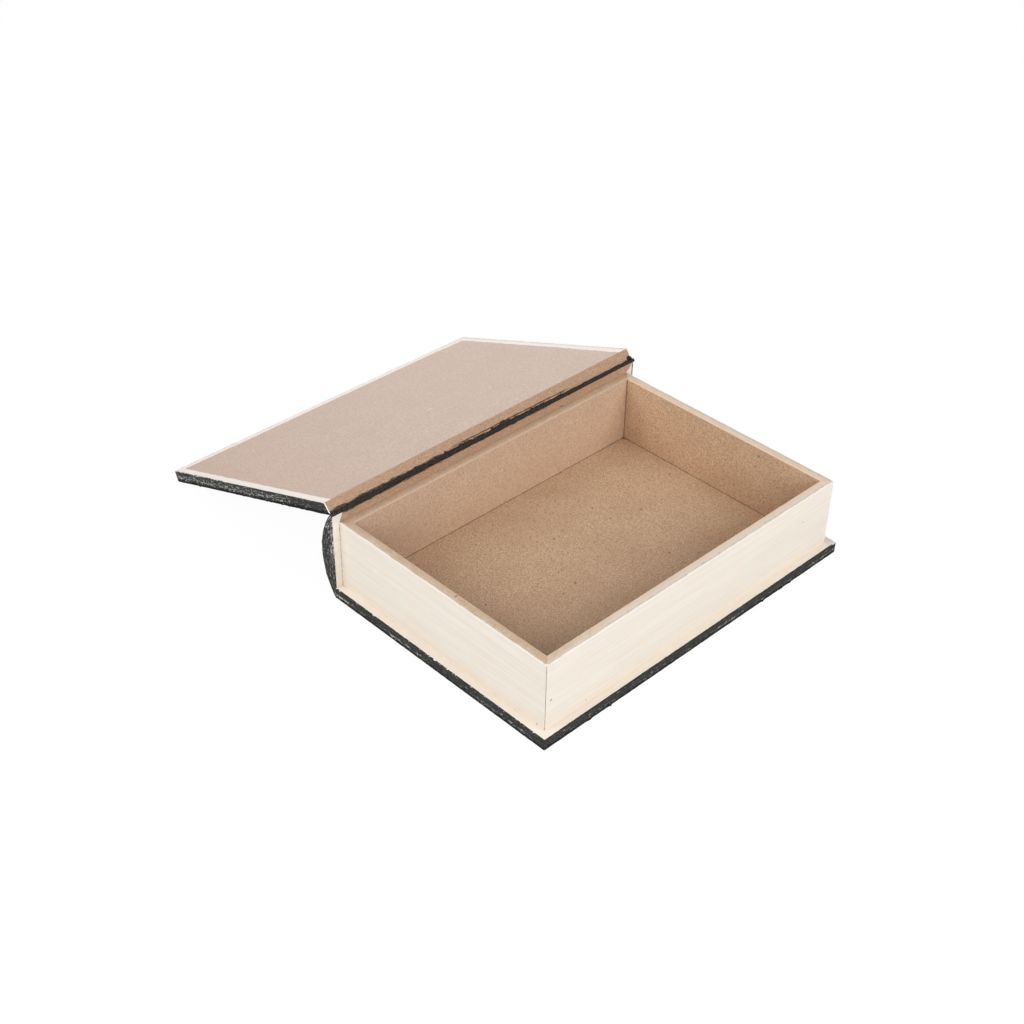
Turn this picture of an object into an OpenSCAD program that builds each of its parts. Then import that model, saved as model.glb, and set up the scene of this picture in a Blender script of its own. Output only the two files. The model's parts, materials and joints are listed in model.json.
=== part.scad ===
// Book box: a shallow box shaped like a bound book, with a cloth-hinged lid
// X runs from the spine to the fore edge, Y from the tail to the head, Z up from the table
// The origin is the centre of the base's underside, and the lid lies open with its fore edge on the table

/* [Box] */
// Length of the box along its spine, over the walls
box_l = 248; // [180:1:320]
// Width of the box, from the spine to the fore edge wall's outer face
box_w = 172.5; // [120:0.5:230]
// Height of the walls
wall_h = 47; // [30:1:80]
// Thickness of the wall boards
wall_t = 6; // [4:0.5:10]

/* [Covers] */
// Thickness of the lid's and the base's boards
board_t = 7; // [5:0.5:10]
// Thickness of the leatherette
cover_t = 0.8; // [0.4:0.1:1.2]
// How far the lid and the base stand out past the walls
overhang = 5.5; // [3:0.5:10]
// Gap between the walls' top edges and the closed lid
close_gap = 0.3; // [0.2:0.1:0.8]

/* [Spine] */
// Depth of the spine board at the middle of its round
spine_d = 10.6; // [8:0.1:20]
// Thickness of the spine board's blunt long edges
spine_edge = 0.8; // [0.8:0.1:3]

/* [Hinge] */
// How deep the cloth roll that the lid turns on is bedded in the top of the spine
roll_bed = 0.2; // [0.1:0.1:0.4]
// Running gap round the roll
roll_gap = 0.15; // [0.1:0.05:0.3]
// Gap between the open lid and the planed top of the spine
fold_gap = 0.3; // [0.2:0.1:0.6]
// How far the lid's hinge edge is bevelled back at its inner face
bevel_w = 4.5; // [3:0.5:8]
// How far the hinge strip runs up the bevel
strip_w = 2.2; // [1.6:0.1:4]
// Thickness of the hinge strip
strip_t = 0.4; // [0.2:0.1:0.6]

/* [Brads] */
// Radius of a brad's shank
brad_r = 0.6; // [0.4:0.1:0.8]
// Clearance round a brad in its hole
brad_fit = 0.02; // [0.01:0.01:0.05]
// Depth that a brad is set below the board's face, filled over
brad_sink = 0.5; // [0.3:0.1:1]
// Length of the brads in the mitred corners
corner_brad_l = 20; // [15:1:30]
// Distance of the corner brads from the walls' long edges
corner_brad_inset = 12; // [6:1:14]
// Length of the brads through the base board
base_brad_l = 22; // [15:1:28]
// Distance kept along the walls between the corner brads' points and the next brad
brad_apart = 9.5; // [5:0.5:15]
// Number of base brads into each short wall
base_brads_short = 3; // [2:1:5]
// Number of base brads into each long wall
base_brads_long = 4; // [2:1:7]
// Height of the spine brads above the base brads' points
spine_brad_rise = 8; // [4:1:12]
// Thickness of the spine board left beyond the spine brads' points
spine_brad_left = 2.2; // [1.5:0.1:4]
// Number of brads that hold the spine board
spine_brads_n = 5; // [2:1:8]

/* [Tail wall nick] */
// Distance of the saw nick from the spine
nick_x = 97; // [20:1:100]
// Width of the saw nick
nick_w = 0.6; // [0.3:0.1:1.5]
// How far the nick cuts into the wall's thickness
nick_cut = 3; // [1:0.5:3.5]
// Depth of the nick below the wall's top edge
nick_d = 2; // [1:0.5:5]

/* [Hidden] */

base_l = box_l + 2 * overhang;
base_w = box_w + overhang;
base_t = board_t + cover_t;
spine_x = -base_w / 2;
fore_x = base_w / 2;
wall_fore_x = spine_x + box_w;
rim_z = base_t + wall_h;

// The hinge line is at the middle of the cloth, level with the closed lid's cover
hinge_x = spine_x;
hinge_z = rim_z + close_gap + board_t + cover_t / 2;

// The lid opens until its fore edge meets the table
lid_reach = fore_x - hinge_x;
fold_deg = asin(hinge_z / norm([lid_reach, cover_t / 2])) - atan2(cover_t / 2, lid_reach);
open_deg = 180 + fold_deg;
echo(open_deg = open_deg, hinge_x = hinge_x, hinge_z = hinge_z);

// Levels in the lid's own frame, measured outward from the hinge line
lid_out = cover_t / 2;
lid_in = -cover_t / 2 - board_t;

// The open lid lies along the planed top of the spine, and the roll is bedded in it
spine_top_drop = lid_out + fold_gap;
roll_r = spine_top_drop + roll_bed;
lid_start = roll_r + roll_gap;

// The round of the spine is one arc through its two blunt edges
spine_mid_z = hinge_z / 2;
arc_half = spine_mid_z - cover_t;
arc_rise = spine_d - spine_edge;
arc_r = (arc_half * arc_half + arc_rise * arc_rise) / (2 * arc_rise);
arc_x = spine_x - spine_d + arc_r;

// Brads start past the corner brads' points, and the spine brads pass above the base brads
brad_inset = brad_sink + corner_brad_l + brad_apart;
base_brad_z = cover_t + brad_sink;
spine_brad_z = base_brad_z + base_brad_l + spine_brad_rise;
spine_brad_l = wall_t - brad_sink + spine_d - spine_brad_left;

eps = 0.01;
big = 2 * (base_l + base_w);
mdf = "#b9967a";
cream = "#efe7d8";
leatherette = "#3d3e3d";
steel = "#9a9b9c";

// Turns a drawing of X and Z into a solid of length l along Y, centred on the box
module along_spine(l) {
    rotate([90, 0, 0])
        linear_extrude(height = l, center = true)
            children();
}

// Places what is drawn for the closed lid, with the hinge line at its origin, on the open lid
module on_lid() {
    translate([hinge_x, 0, hinge_z])
        rotate([0, -open_deg, 0])
            children();
}

// A brad along Z with its head at the origin, or its hole
module brad(l, extra = 0) {
    cylinder(r = brad_r + extra, h = l, $fn = 24);
}

// Where n brads stand along a wall of length l, counted from its middle
function brad_row(n, l) = [for (i = [0 : n - 1]) (l - 2 * brad_inset) * (i / (n - 1) - 0.5)];

// Brads through the tail and head walls' faces into the ends of the other two walls
module corner_brad_set(extra) {
    for (side = [-1, 1])
        for (x = [spine_x + wall_t / 2, wall_fore_x - wall_t / 2])
            for (z = [base_t + corner_brad_inset, rim_z - corner_brad_inset])
                translate([x, side * (box_l / 2 - brad_sink), z])
                    rotate([side * 90, 0, 0])
                        brad(corner_brad_l, extra);
}

// Brads up through the base board into the middle of each wall's lower edge
module base_brad_set(extra) {
    mid_x = spine_x + box_w / 2;
    for (side = [-1, 1])
        for (x = brad_row(base_brads_short, box_w))
            translate([mid_x + x, side * (box_l - wall_t) / 2, base_brad_z])
                brad(base_brad_l, extra);
    for (x = [spine_x + wall_t / 2, wall_fore_x - wall_t / 2])
        for (y = brad_row(base_brads_long, box_l))
            translate([x, y, base_brad_z])
                brad(base_brad_l, extra);
}

// Brads from inside the box through the spine wall into the thick of the spine board
module spine_brad_set(extra) {
    for (y = brad_row(spine_brads_n, box_l))
        translate([spine_x + wall_t - brad_sink, y, spine_brad_z])
            rotate([0, -90, 0])
                brad(spine_brad_l, extra);
}

module brad_holes() {
    corner_brad_set(brad_fit);
    base_brad_set(brad_fit);
    spine_brad_set(brad_fit);
}

// A wall board on the base, from its outline in plan
module wall(outline) {
    translate([0, 0, base_t])
        linear_extrude(height = wall_h)
            polygon(outline);
}

// A mitred wall along X, on the side given as -1 for the tail and 1 for the head
module end_wall(side) {
    outer = side * box_l / 2;
    inner = side * (box_l / 2 - wall_t);
    wall([[spine_x, outer], [wall_fore_x, outer], [wall_fore_x - wall_t, inner], [spine_x + wall_t, inner]]);
}

// A mitred wall along Y, from its outer face towards the inside of the box
module long_wall(x, inward) {
    inner = x + inward * wall_t;
    wall([[x, -box_l / 2], [x, box_l / 2], [inner, box_l / 2 - wall_t], [inner, -box_l / 2 + wall_t]]);
}

// The plane that the spine's top is planed to, so that the open lid lies along it
module above_spine_top(depth) {
    translate([hinge_x, hinge_z])
        rotate(fold_deg)
            translate([-big / 2, -spine_top_drop - depth])
                square([big, big]);
}

// The spine's section: skin 0 is the bare board, and skin cover_t is the board with its leatherette
module spine_section(skin) {
    difference() {
        intersection() {
            translate([arc_x, spine_mid_z])
                circle(r = arc_r + skin, $fn = 180);
            translate([spine_x - spine_d - skin, cover_t - skin])
                square([spine_d + skin, hinge_z]);
        }
        above_spine_top(cover_t - skin);
        translate([hinge_x, hinge_z])
            circle(r = roll_r, $fn = 48);
    }
}

// The lid's section in its own frame: skin 0 is the bare board, and skin cover_t adds the leatherette
module lid_section(skin) {
    difference() {
        polygon([
            [lid_start, -lid_out + skin],
            [lid_reach - cover_t + skin, -lid_out + skin],
            [lid_reach - cover_t + skin, lid_in],
            [bevel_w, lid_in],
            [lid_start, -lid_out]
        ]);
        circle(r = lid_start, $fn = 48);
    }
}

module base_board() {
    color(cream)
        difference() {
            translate([spine_x, -base_l / 2 + cover_t, cover_t])
                cube([base_w - cover_t, base_l - 2 * cover_t, board_t]);
            base_brad_set(brad_fit);
        }
}

module tail_wall() {
    color(cream)
        difference() {
            end_wall(-1);
            brad_holes();
            translate([spine_x + nick_x - nick_w / 2, -box_l / 2 + wall_t - nick_cut, rim_z - nick_d])
                cube([nick_w, nick_cut + eps, nick_d + eps]);
        }
}

module head_wall() {
    color(cream)
        difference() {
            end_wall(1);
            brad_holes();
        }
}

module fore_edge_wall() {
    color(cream)
        difference() {
            long_wall(wall_fore_x, -1);
            brad_holes();
        }
}

module spine_wall() {
    color(mdf)
        difference() {
            long_wall(spine_x, 1);
            brad_holes();
        }
}

module spine_board() {
    color(mdf)
        difference() {
            along_spine(base_l - 2 * cover_t)
                spine_section(0);
            spine_brad_set(brad_fit);
        }
}

module spine_cover() {
    color(leatherette)
        difference() {
            along_spine(base_l)
                spine_section(cover_t);
            along_spine(base_l - 2 * cover_t)
                spine_section(0);
        }
}

module base_cover() {
    color(leatherette)
        difference() {
            translate([spine_x, -base_l / 2, 0])
                cube([base_w, base_l, base_t]);
            translate([spine_x - eps, -base_l / 2 + cover_t, cover_t])
                cube([base_w - cover_t + eps, base_l - 2 * cover_t, board_t + eps]);
        }
}

module lid_board() {
    color(mdf)
        on_lid()
            along_spine(base_l - 2 * cover_t)
                lid_section(0);
}

module lid_cover() {
    color(leatherette)
        on_lid()
            difference() {
                along_spine(base_l)
                    lid_section(cover_t);
                along_spine(base_l - 2 * cover_t)
                    lid_section(0);
            }
}

module hinge_roll() {
    color(leatherette)
        translate([hinge_x, 0, hinge_z])
            rotate([90, 0, 0])
                cylinder(r = roll_r, h = base_l, center = true, $fn = 48);
}

// The strip lies along the bevel, from the roll towards the lid's inner arris
module hinge_strip_section() {
    difference() {
        translate([lid_start, -lid_out])
            rotate(atan2(-board_t, bevel_w - lid_start))
                translate([0, -strip_t])
                    square([strip_w, strip_t]);
        circle(r = lid_start, $fn = 48);
    }
}

module hinge_strip() {
    color(leatherette)
        on_lid()
            along_spine(base_l)
                hinge_strip_section();
}

module corner_brads() {
    color(steel)
        corner_brad_set(0);
}

module base_brads() {
    color(steel)
        base_brad_set(0);
}

module spine_brads() {
    color(steel)
        spine_brad_set(0);
}

base_board();
tail_wall();
head_wall();
fore_edge_wall();
spine_wall();
spine_board();
lid_board();
base_cover();
spine_cover();
lid_cover();
hinge_roll();
hinge_strip();
corner_brads();
base_brads();
spine_brads();
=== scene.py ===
"""Book box: a shallow fibreboard box shaped like a bound book, open, its lid's fore edge on the table."""
import json
import math

import bmesh
import bpy
from bpy.props import FloatProperty, FloatVectorProperty, PointerProperty
from bpy.types import Operator, Panel, PropertyGroup
from mathutils import Matrix, Vector, noise


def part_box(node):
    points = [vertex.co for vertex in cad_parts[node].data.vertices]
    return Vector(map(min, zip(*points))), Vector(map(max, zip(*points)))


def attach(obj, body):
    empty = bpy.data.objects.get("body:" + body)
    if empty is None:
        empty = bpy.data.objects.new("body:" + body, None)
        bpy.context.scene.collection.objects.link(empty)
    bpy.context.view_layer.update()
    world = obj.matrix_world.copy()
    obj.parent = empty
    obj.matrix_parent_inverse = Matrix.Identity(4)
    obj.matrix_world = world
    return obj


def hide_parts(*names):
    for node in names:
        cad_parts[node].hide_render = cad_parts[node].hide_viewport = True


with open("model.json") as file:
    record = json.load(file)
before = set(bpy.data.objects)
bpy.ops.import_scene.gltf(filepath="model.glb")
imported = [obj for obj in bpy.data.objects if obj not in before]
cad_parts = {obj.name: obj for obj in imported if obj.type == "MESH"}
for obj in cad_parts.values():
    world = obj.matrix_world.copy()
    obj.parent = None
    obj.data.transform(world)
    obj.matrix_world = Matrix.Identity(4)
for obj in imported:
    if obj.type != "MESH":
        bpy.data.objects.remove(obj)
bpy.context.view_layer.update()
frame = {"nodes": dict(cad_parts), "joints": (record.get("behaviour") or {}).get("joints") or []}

bl_info = {
    "name": "Book box",
    "version": (1, 0, 0),
    "blender": (4, 5, 0),
    "location": "3D View > Sidebar > Book box",
    "description": "Builds the looks of a book-shaped keepsake box round its measured frame",
    "category": "Add Mesh",
}

MM = 0.001
TOUCH = 1e-6  # places closer than this, in metres, count as one
MERGE = 1e-7  # points closer than this, in metres, are merged
ALIGNED = 0.9  # past this cosine, an edge or a normal counts as lying along an axis
LONG_EDGE = 20 * MM  # only edges longer than this are divided into rows
NOISE_RANGE = (0.28, 0.72)  # cloudy noise seldom leaves this range
RELIEF_RANGE = (0.3, 0.7)  # a relief's hollows and its tops
FULL_WITHIN = 0.45  # the share of a mark's reach within which it covers most
SENSOR_WIDTH = 36.0  # in millimetres, as the lens is
WHITE = (1.0, 1.0, 1.0, 1.0)

# Sizes that come from the frame
TRAY_LO, TRAY_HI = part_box("base_cover")
PANEL_LO, PANEL_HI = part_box("base_board")
TAIL_LO, TAIL_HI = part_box("tail_wall")
SPINE_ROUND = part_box("spine_cover")[0].x
ROLL_LO, ROLL_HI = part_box("hinge_roll")
LID_JOINT = frame["joints"][0]
HINGE = Vector(LID_JOINT["pos_m"])
OPEN = math.radians(LID_JOINT["range_deg"][1])
FOLD = OPEN - math.pi
SKIN = PANEL_LO.z
WALL = TAIL_HI.y - TAIL_LO.y
LEDGE_Z = TRAY_HI.z
RIM_Z = TAIL_HI.z
SPINE_X = TRAY_LO.x
FORE_X = TRAY_HI.x
WALL_FORE_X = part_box("fore_edge_wall")[1].x
HALF_WALLS = -TAIL_LO.y
HALF_BOARD = PANEL_HI.y
HALF_COVER = TRAY_HI.y
ROLL_R = (ROLL_HI.z - ROLL_LO.z) / 2
SHEET = SKIN + 0.05 * MM  # turned-up leatherette, pressed a little into its board
LID_OUT = SKIN / 2
LID_IN = -LID_OUT - (PANEL_HI.z - PANEL_LO.z)
LID_REACH = FORE_X - HINGE.x
LID_PLACE = Matrix.Translation(HINGE) @ Matrix.Rotation(-OPEN, 4, "Y")


def linear(colour):
    """An sRGB hex colour as the linear RGBA that Blender's sockets take."""
    parts = [int(colour[i:i + 2], 16) / 255 for i in (1, 3, 5)]
    return [c / 12.92 if c <= 0.04045 else ((c + 0.055) / 1.055) ** 2.4 for c in parts] + [1.0]


def per(size_mm):
    """The scale that gives a pattern features of this many millimetres."""
    return 1.0 / (size_mm * MM)


def colour_prop(name, description, colour):
    return FloatVectorProperty(
        name=name, description=description, default=linear(colour), size=4, subtype="COLOR", min=0.0, max=1.0
    )


def length_prop(name, description, size_mm):
    return FloatProperty(name=name, description=description, default=size_mm * MM, unit="LENGTH", precision=5)


def power_prop(name, description, watts):
    return FloatProperty(name=name, description=description, default=watts, min=0.0, unit="POWER")


class BookBoxSizes(PropertyGroup):
    spine_edge: length_prop("Spine edge", "Thickness of the spine board's blunt long edges", 0.8)
    bevel_width: length_prop("Hinge bevel", "How far the lid's hinge edge is bevelled back", 4.5)
    roll_gap: length_prop("Roll gap", "Running gap round the hinge roll", 0.15)
    spine_drop: length_prop("Spine drop", "Distance from the hinge line to the planed top of the spine", 0.7)
    fold_radius: length_prop("Fold radius", "Rounding of the leatherette where it turns under a board", 1.0)
    cover_step: length_prop("Cover step", "Spacing of the points along the leatherette's ragged edges", 0.6)
    cover_rough: length_prop("Cover unevenness", "How far the glued leatherette swells and dips", 0.12)
    base_rag: length_prop("Base rag", "How far the base's leatherette is torn back from its rim", 0.16)
    lid_rag: length_prop("Lid rag", "How far the lid's leatherette is torn back from its rim", 0.65)
    wall_arris: length_prop("Wall arris", "Rounding of the wall boards' long edges", 0.35)
    mitre_gap: length_prop("Mitre gap", "Half of the open joint between two mitred walls", 0.05)
    page_step: length_prop("Page line spacing", "Spacing of the brushed lines that stand for page edges", 0.8)
    page_depth: length_prop("Page line depth", "Height of the brushed lines that stand for page edges", 0.05)
    corner_wear: length_prop("Corner wear", "How far the walls' top corners are worn down", 0.7)
    nick_x: length_prop("Nick place", "Distance of the saw nick in the tail wall from the spine", 97.0)
    nick_width: length_prop("Nick width", "Width of the saw nick in the tail wall", 0.6)
    nick_cut: length_prop("Nick cut", "How far the nick reaches into the tail wall", 3.0)
    nick_depth: length_prop("Nick depth", "Depth of the nick below the rim", 2.0)
    border_width: length_prop("Painted border", "Width of the pale border painted round the lid", 4.9)
    strip_width: length_prop("Hinge strip", "How far the hinge cloth runs up the lid's bevel", 1.4)
    strip_thickness: length_prop("Hinge cloth thickness", "Thickness of the hinge cloth on the bevel", 0.35)
    knot_radius: length_prop("Hinge end", "Radius of the bunched cloth at the hinge's head end", 1.15)
    head_flare: length_prop("Head flare", "How far the lid's head corner stands out at the hinge", 0.9)
    knot_reach: length_prop("Hinge end reach", "How far the bunched cloth stands out at the head end", 0.4)


class BookBoxColours(PropertyGroup):
    board: colour_prop("Fibreboard", "Bare pressed face of the fibreboard", "#c9a98a")
    board_dark: colour_prop("Fibreboard flecks", "Darker wood fibres in the pressed face", "#ac896c")
    board_pale: colour_prop("Fibreboard fibres", "Paler wood fibres in the pressed face", "#dcc0a3")
    # This colour also paints the shade in the tail wall's saw nick
    speck: colour_prop("Specks", "Bark specks in the fibreboard, dark lines in its seams, and painted shade in the saw nick", "#664b38")
    # Painted sheen: the lid's three colours are the floor's fibreboard made paler
    lid: colour_prop("Lid board", "Lid board's face, painted paler as sheen", "#c9a992")
    lid_dark: colour_prop("Lid flecks", "Darker fibres of the lid's face, painted paler as sheen", "#b6947c")
    lid_pale: colour_prop("Lid fibres", "Pale fibres of the lid's face, painted paler as sheen", "#dabfac")
    # Painted sheen: a paler colour laid over the spine side wall's inner face
    spine_wall_sheen: colour_prop("Painted sheen", "Paler painted sheen on the spine side wall's inner face", "#d3bba9")
    border: colour_prop("Lid border", "Near-white paint round the lid's inner face", "#fff5ec")
    border_warm: colour_prop("Outer border", "Thinner, pinker paint along the lid's outer arris", "#fbe9df")
    cut_board: colour_prop("Planed edge", "Planed edge of the fibreboard", "#b8957a")
    cut_pale: colour_prop("Planed fibres", "Paler fibres in a planed edge", "#c8a98c")
    cut_dark: colour_prop("Planed pits", "Darker pits in a planed edge", "#9c795f")
    rim_board: colour_prop("Washed rim", "Fibreboard rim that thinned paint has been wiped over", "#d3b799")
    rim_dark: colour_prop("Rim flecks", "Flecks in the washed rim", "#b99a7d")
    rim_arris: colour_prop("Rim arris", "Paler inner arris of the rim, and its pale patches", "#dcbfa6")
    rim_pale: colour_prop("Pale rim", "Rim that more of the thinned paint has soaked into", "#efd8c0")
    rim_wash: colour_prop("Rim wash", "Where more of the thinned paint stayed on the rim", "#e3d8ca")
    cream: colour_prop("Cream paint", "Brushed paint on the page edges", "#efe7dc")
    cream_dark: colour_prop("Cream paint grooves", "Paint in the grooves between the page lines", "#e3d9ca")
    warm_foot: colour_prop("Warm foot", "Paint pooled at the foot of the walls and on the ledge", "#eeddca")
    grime: colour_prop("Grime", "The small marks on the paint", "#8f8a83")
    grey_smear_and_ridge_shade: colour_prop("Rim line", "Grey smears, and painted shade beside the paint's ridge on the rim", "#bfb4a7")
    leather: colour_prop("Leatherette", "Embossed leatherette", "#424241")
    leather_dark: colour_prop("Leatherette grain", "Hollows of the leatherette's grain", "#232423")
    leather_pale: colour_prop("Leatherette streaks", "Leatherette rubbed along its edges", "#6f6e6a")
    fold: colour_prop("Fold", "Painted shade on the leatherette where it turns under", "#0b0b0c")
    scuff: colour_prop("Scuffs", "Backing that shows where the leatherette is rubbed through", "#cdcac1")
    cloth: colour_prop("Hinge cloth", "Glue-soaked cloth of the hinge", "#14110f")
    glue_lumps_and_glints: colour_prop("Hinge glue", "Lumps of glue on the hinge cloth, and painted glints", "#43382f")
    steel: colour_prop("Brad steel", "Bright drawn steel", "#9a9b9c")
    steel_dark: colour_prop("Brad marks", "Marks that the drawing die left on the steel", "#6f7072")
    paper: colour_prop("Studio floor", "Plain pale paper under the box", "#f4f4f4")


class BookBoxStage(PropertyGroup):
    camera_place: FloatVectorProperty(
        name="Camera place", description="Where the photograph was taken from", size=3, subtype="TRANSLATION",
        unit="LENGTH", default=(0.523589, -0.584106, 0.623367), precision=5
    )
    camera_turn: FloatVectorProperty(
        name="Camera turn", description="How the camera is turned", size=3, subtype="EULER", unit="ROTATION",
        default=[math.radians(a) for a in (53.64446, -0.78389, 46.07436)], precision=5
    )
    lens: FloatProperty(
        name="Lens", description="Focal length on a 36 mm wide frame", default=56.891, unit="CAMERA"
    )
    sky: FloatProperty(name="Sky", description="Strength of the white surround", default=0.02, min=0.0)
    front: power_prop("Front lamp", "Power of the soft lamp on the camera's side", 39.5)
    left: power_prop("Left lamp", "Power of the soft lamp on the tail side", 36.5)
    right: power_prop("Right lamp", "Power of the soft lamp on the fore edge side", 47.0)
    back: power_prop("Back lamp", "Power of the low lamp behind, which the open lid mirrors", 21.0)
    side: power_prop("Side lamp", "Power of the soft lamp behind the tail side", 7.0)
    floor_half: FloatProperty(name="Floor", description="Half the floor's width", default=3.0, unit="LENGTH")


def sizes():
    return bpy.context.scene.book_box_sizes


def colours():
    return bpy.context.scene.book_box_colours


def add(tree, kind, inputs=None, **settings):
    """Adds a node with its settings, and sets or links its inputs by name or place."""
    node = tree.nodes.new(kind)
    for key, value in settings.items():
        setattr(node, key, value)
    for key, value in (inputs or {}).items():
        if isinstance(value, bpy.types.NodeSocket):
            tree.links.new(value, node.inputs[key])
        else:
            node.inputs[key].default_value = value
    return node


def grain(tree, place, size_mm, detail=2.0, roughness=0.5, stretch=(1.0, 1.0, 1.0)):
    """Cloudy noise of a real size, stretched along an axis where its stretch is above 1."""
    scale = [1.0 / s for s in stretch]
    turned = add(tree, "ShaderNodeMapping", {"Vector": place, "Scale": scale}).outputs["Vector"]
    settings = {"Vector": turned, "Scale": per(size_mm), "Detail": detail, "Roughness": roughness}
    return add(tree, "ShaderNodeTexNoise", settings).outputs["Fac"]


def paint(tree, field, low, high, under, over, most=1.0):
    """Lays one colour over another: none of it where the field is at low, and most where it is at high."""
    spread = {"Value": field, "From Min": low, "From Max": high, "To Min": 0.0, "To Max": most}
    share = add(tree, "ShaderNodeMapRange", spread, interpolation_type="SMOOTHSTEP").outputs["Result"]
    # A Mix node's colours are its inputs 6 and 7 and its output 2
    return add(tree, "ShaderNodeMix", {0: share, 6: under, 7: over}, data_type="RGBA").outputs[2]


def wander(tree, field, pattern, reach):
    """Shifts a field by up to this reach either way, so that a line painted along it wanders."""
    low, high = NOISE_RANGE
    spread = {"Value": pattern, "From Min": low, "From Max": high, "To Min": -reach, "To Max": reach}
    shift = add(tree, "ShaderNodeMapRange", spread).outputs["Result"]
    return add(tree, "ShaderNodeMath", {0: field, 1: shift}, operation="ADD").outputs["Value"]


def new_surface(name, refraction):
    """A fresh material: its tree, its shader and its object coordinates."""
    made = bpy.data.materials.new(name)
    made.use_nodes = True
    tree = made.node_tree
    shader = tree.nodes["Principled BSDF"]
    shader.inputs["IOR"].default_value = refraction
    place = add(tree, "ShaderNodeTexCoord").outputs["Object"]
    return made, tree, shader, place


def dress(tree, shader, colour, relief, rough, depth_mm, strength):
    """Gives a surface its colour, a roughness from hollow to top of its relief, and the relief's depth."""
    low, high = RELIEF_RANGE
    spread = {"Value": relief, "From Min": low, "From Max": high, "To Min": rough[0], "To Max": rough[1]}
    gloss = add(tree, "ShaderNodeMapRange", spread).outputs["Result"]
    bump = add(tree, "ShaderNodeBump", {"Height": relief, "Distance": depth_mm * MM, "Strength": strength})
    tree.links.new(colour, shader.inputs["Base Color"])
    tree.links.new(gloss, shader.inputs["Roughness"])
    tree.links.new(bump.outputs["Normal"], shader.inputs["Normal"])


def mark(tree, place, under, over, spot_mm, reach_mm, most):
    """One small mark at a real place. Its reach along each axis makes it round or drawn out."""
    spot = [v * MM for v in spot_mm]
    reach = [v * MM for v in reach_mm]
    near = add(tree, "ShaderNodeVectorMath", {0: place, 1: spot}, operation="SUBTRACT").outputs["Vector"]
    near = add(tree, "ShaderNodeVectorMath", {0: near, 1: reach}, operation="DIVIDE").outputs["Vector"]
    far = add(tree, "ShaderNodeVectorMath", {0: near}, operation="LENGTH").outputs["Value"]
    return paint(tree, far, 1.0, FULL_WITHIN, under, over, most)


def speck(tree, place, under, over, spacing_mm, radius_mm, most):
    """Scatters round specks of one colour over another."""
    cells = add(tree, "ShaderNodeTexVoronoi", {"Vector": place, "Scale": per(spacing_mm)}).outputs["Distance"]
    return paint(tree, cells, radius_mm / spacing_mm, 0.5 * radius_mm / spacing_mm, under, over, most)


def pressed_face(tree, place, face, dark, pale):
    """The pressed face's flecked brown, and its flecks as a relief.

    Real flecks are about 0.4 mm across, less than a pixel of the render, so they are drawn at 0.95 mm.
    """
    fleck = grain(tree, place, 0.95, roughness=0.7)
    clump = grain(tree, place, 3.0)
    cloud = grain(tree, place, 24.0, detail=3.0)
    colour = paint(tree, fleck, 0.5, 0.36, face, dark)
    colour = paint(tree, fleck, 0.52, 0.66, colour, pale)
    colour = paint(tree, clump, 0.5, 0.68, colour, dark, most=0.2)
    return paint(tree, cloud, 0.35, 0.7, colour, dark, most=0.2), fleck


def fibreboard_face(name):
    """Medium-density fibreboard, pressed and left bare: matt light brown with short flecks and specks."""
    tint = colours()
    made, tree, shader, place = new_surface(name, 1.48)
    colour, fleck = pressed_face(tree, place, tint.board, tint.board_dark, tint.board_pale)
    # Bark specks and splashes of paint: spacing and radius in millimetres, and how far they cover
    for over, spacing, radius, cover in (
        (tint.speck, 4.2, 0.42, 0.7),
        (tint.speck, 7.5, 0.6, 0.9),
        (tint.speck, 21.0, 1.1, 0.7),
        (tint.cream, 34.0, 0.6, 0.6),
    ):
        colour = speck(tree, place, colour, over, spacing, radius, cover)
    side = add(tree, "ShaderNodeSeparateXYZ", {"Vector": place}).outputs["X"]
    # Painted sheen: the spine side wall's inner face is painted paler
    colour = paint(tree, side, SPINE_X + WALL + 0.3 * MM, SPINE_X + WALL, colour, tint.spine_wall_sheen, most=0.3)
    # Darker lines along the seams at the floor and between the walls
    seam = add(tree, "ShaderNodeAttribute", attribute_name="seam").outputs["Fac"]
    seam = wander(tree, seam, grain(tree, place, 2.2, roughness=0.7), 0.2 * MM)
    colour = paint(tree, seam, 0.6 * MM, 0.3 * MM, colour, tint.speck, most=0.65)
    corner = add(tree, "ShaderNodeAttribute", attribute_name="corner").outputs["Fac"]
    colour = paint(tree, corner, 0.7 * MM, 0.3 * MM, colour, tint.speck, most=0.45)
    dress(tree, shader, colour, fleck, rough=(0.55, 0.7), depth_mm=0.04, strength=0.6)
    return made


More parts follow.
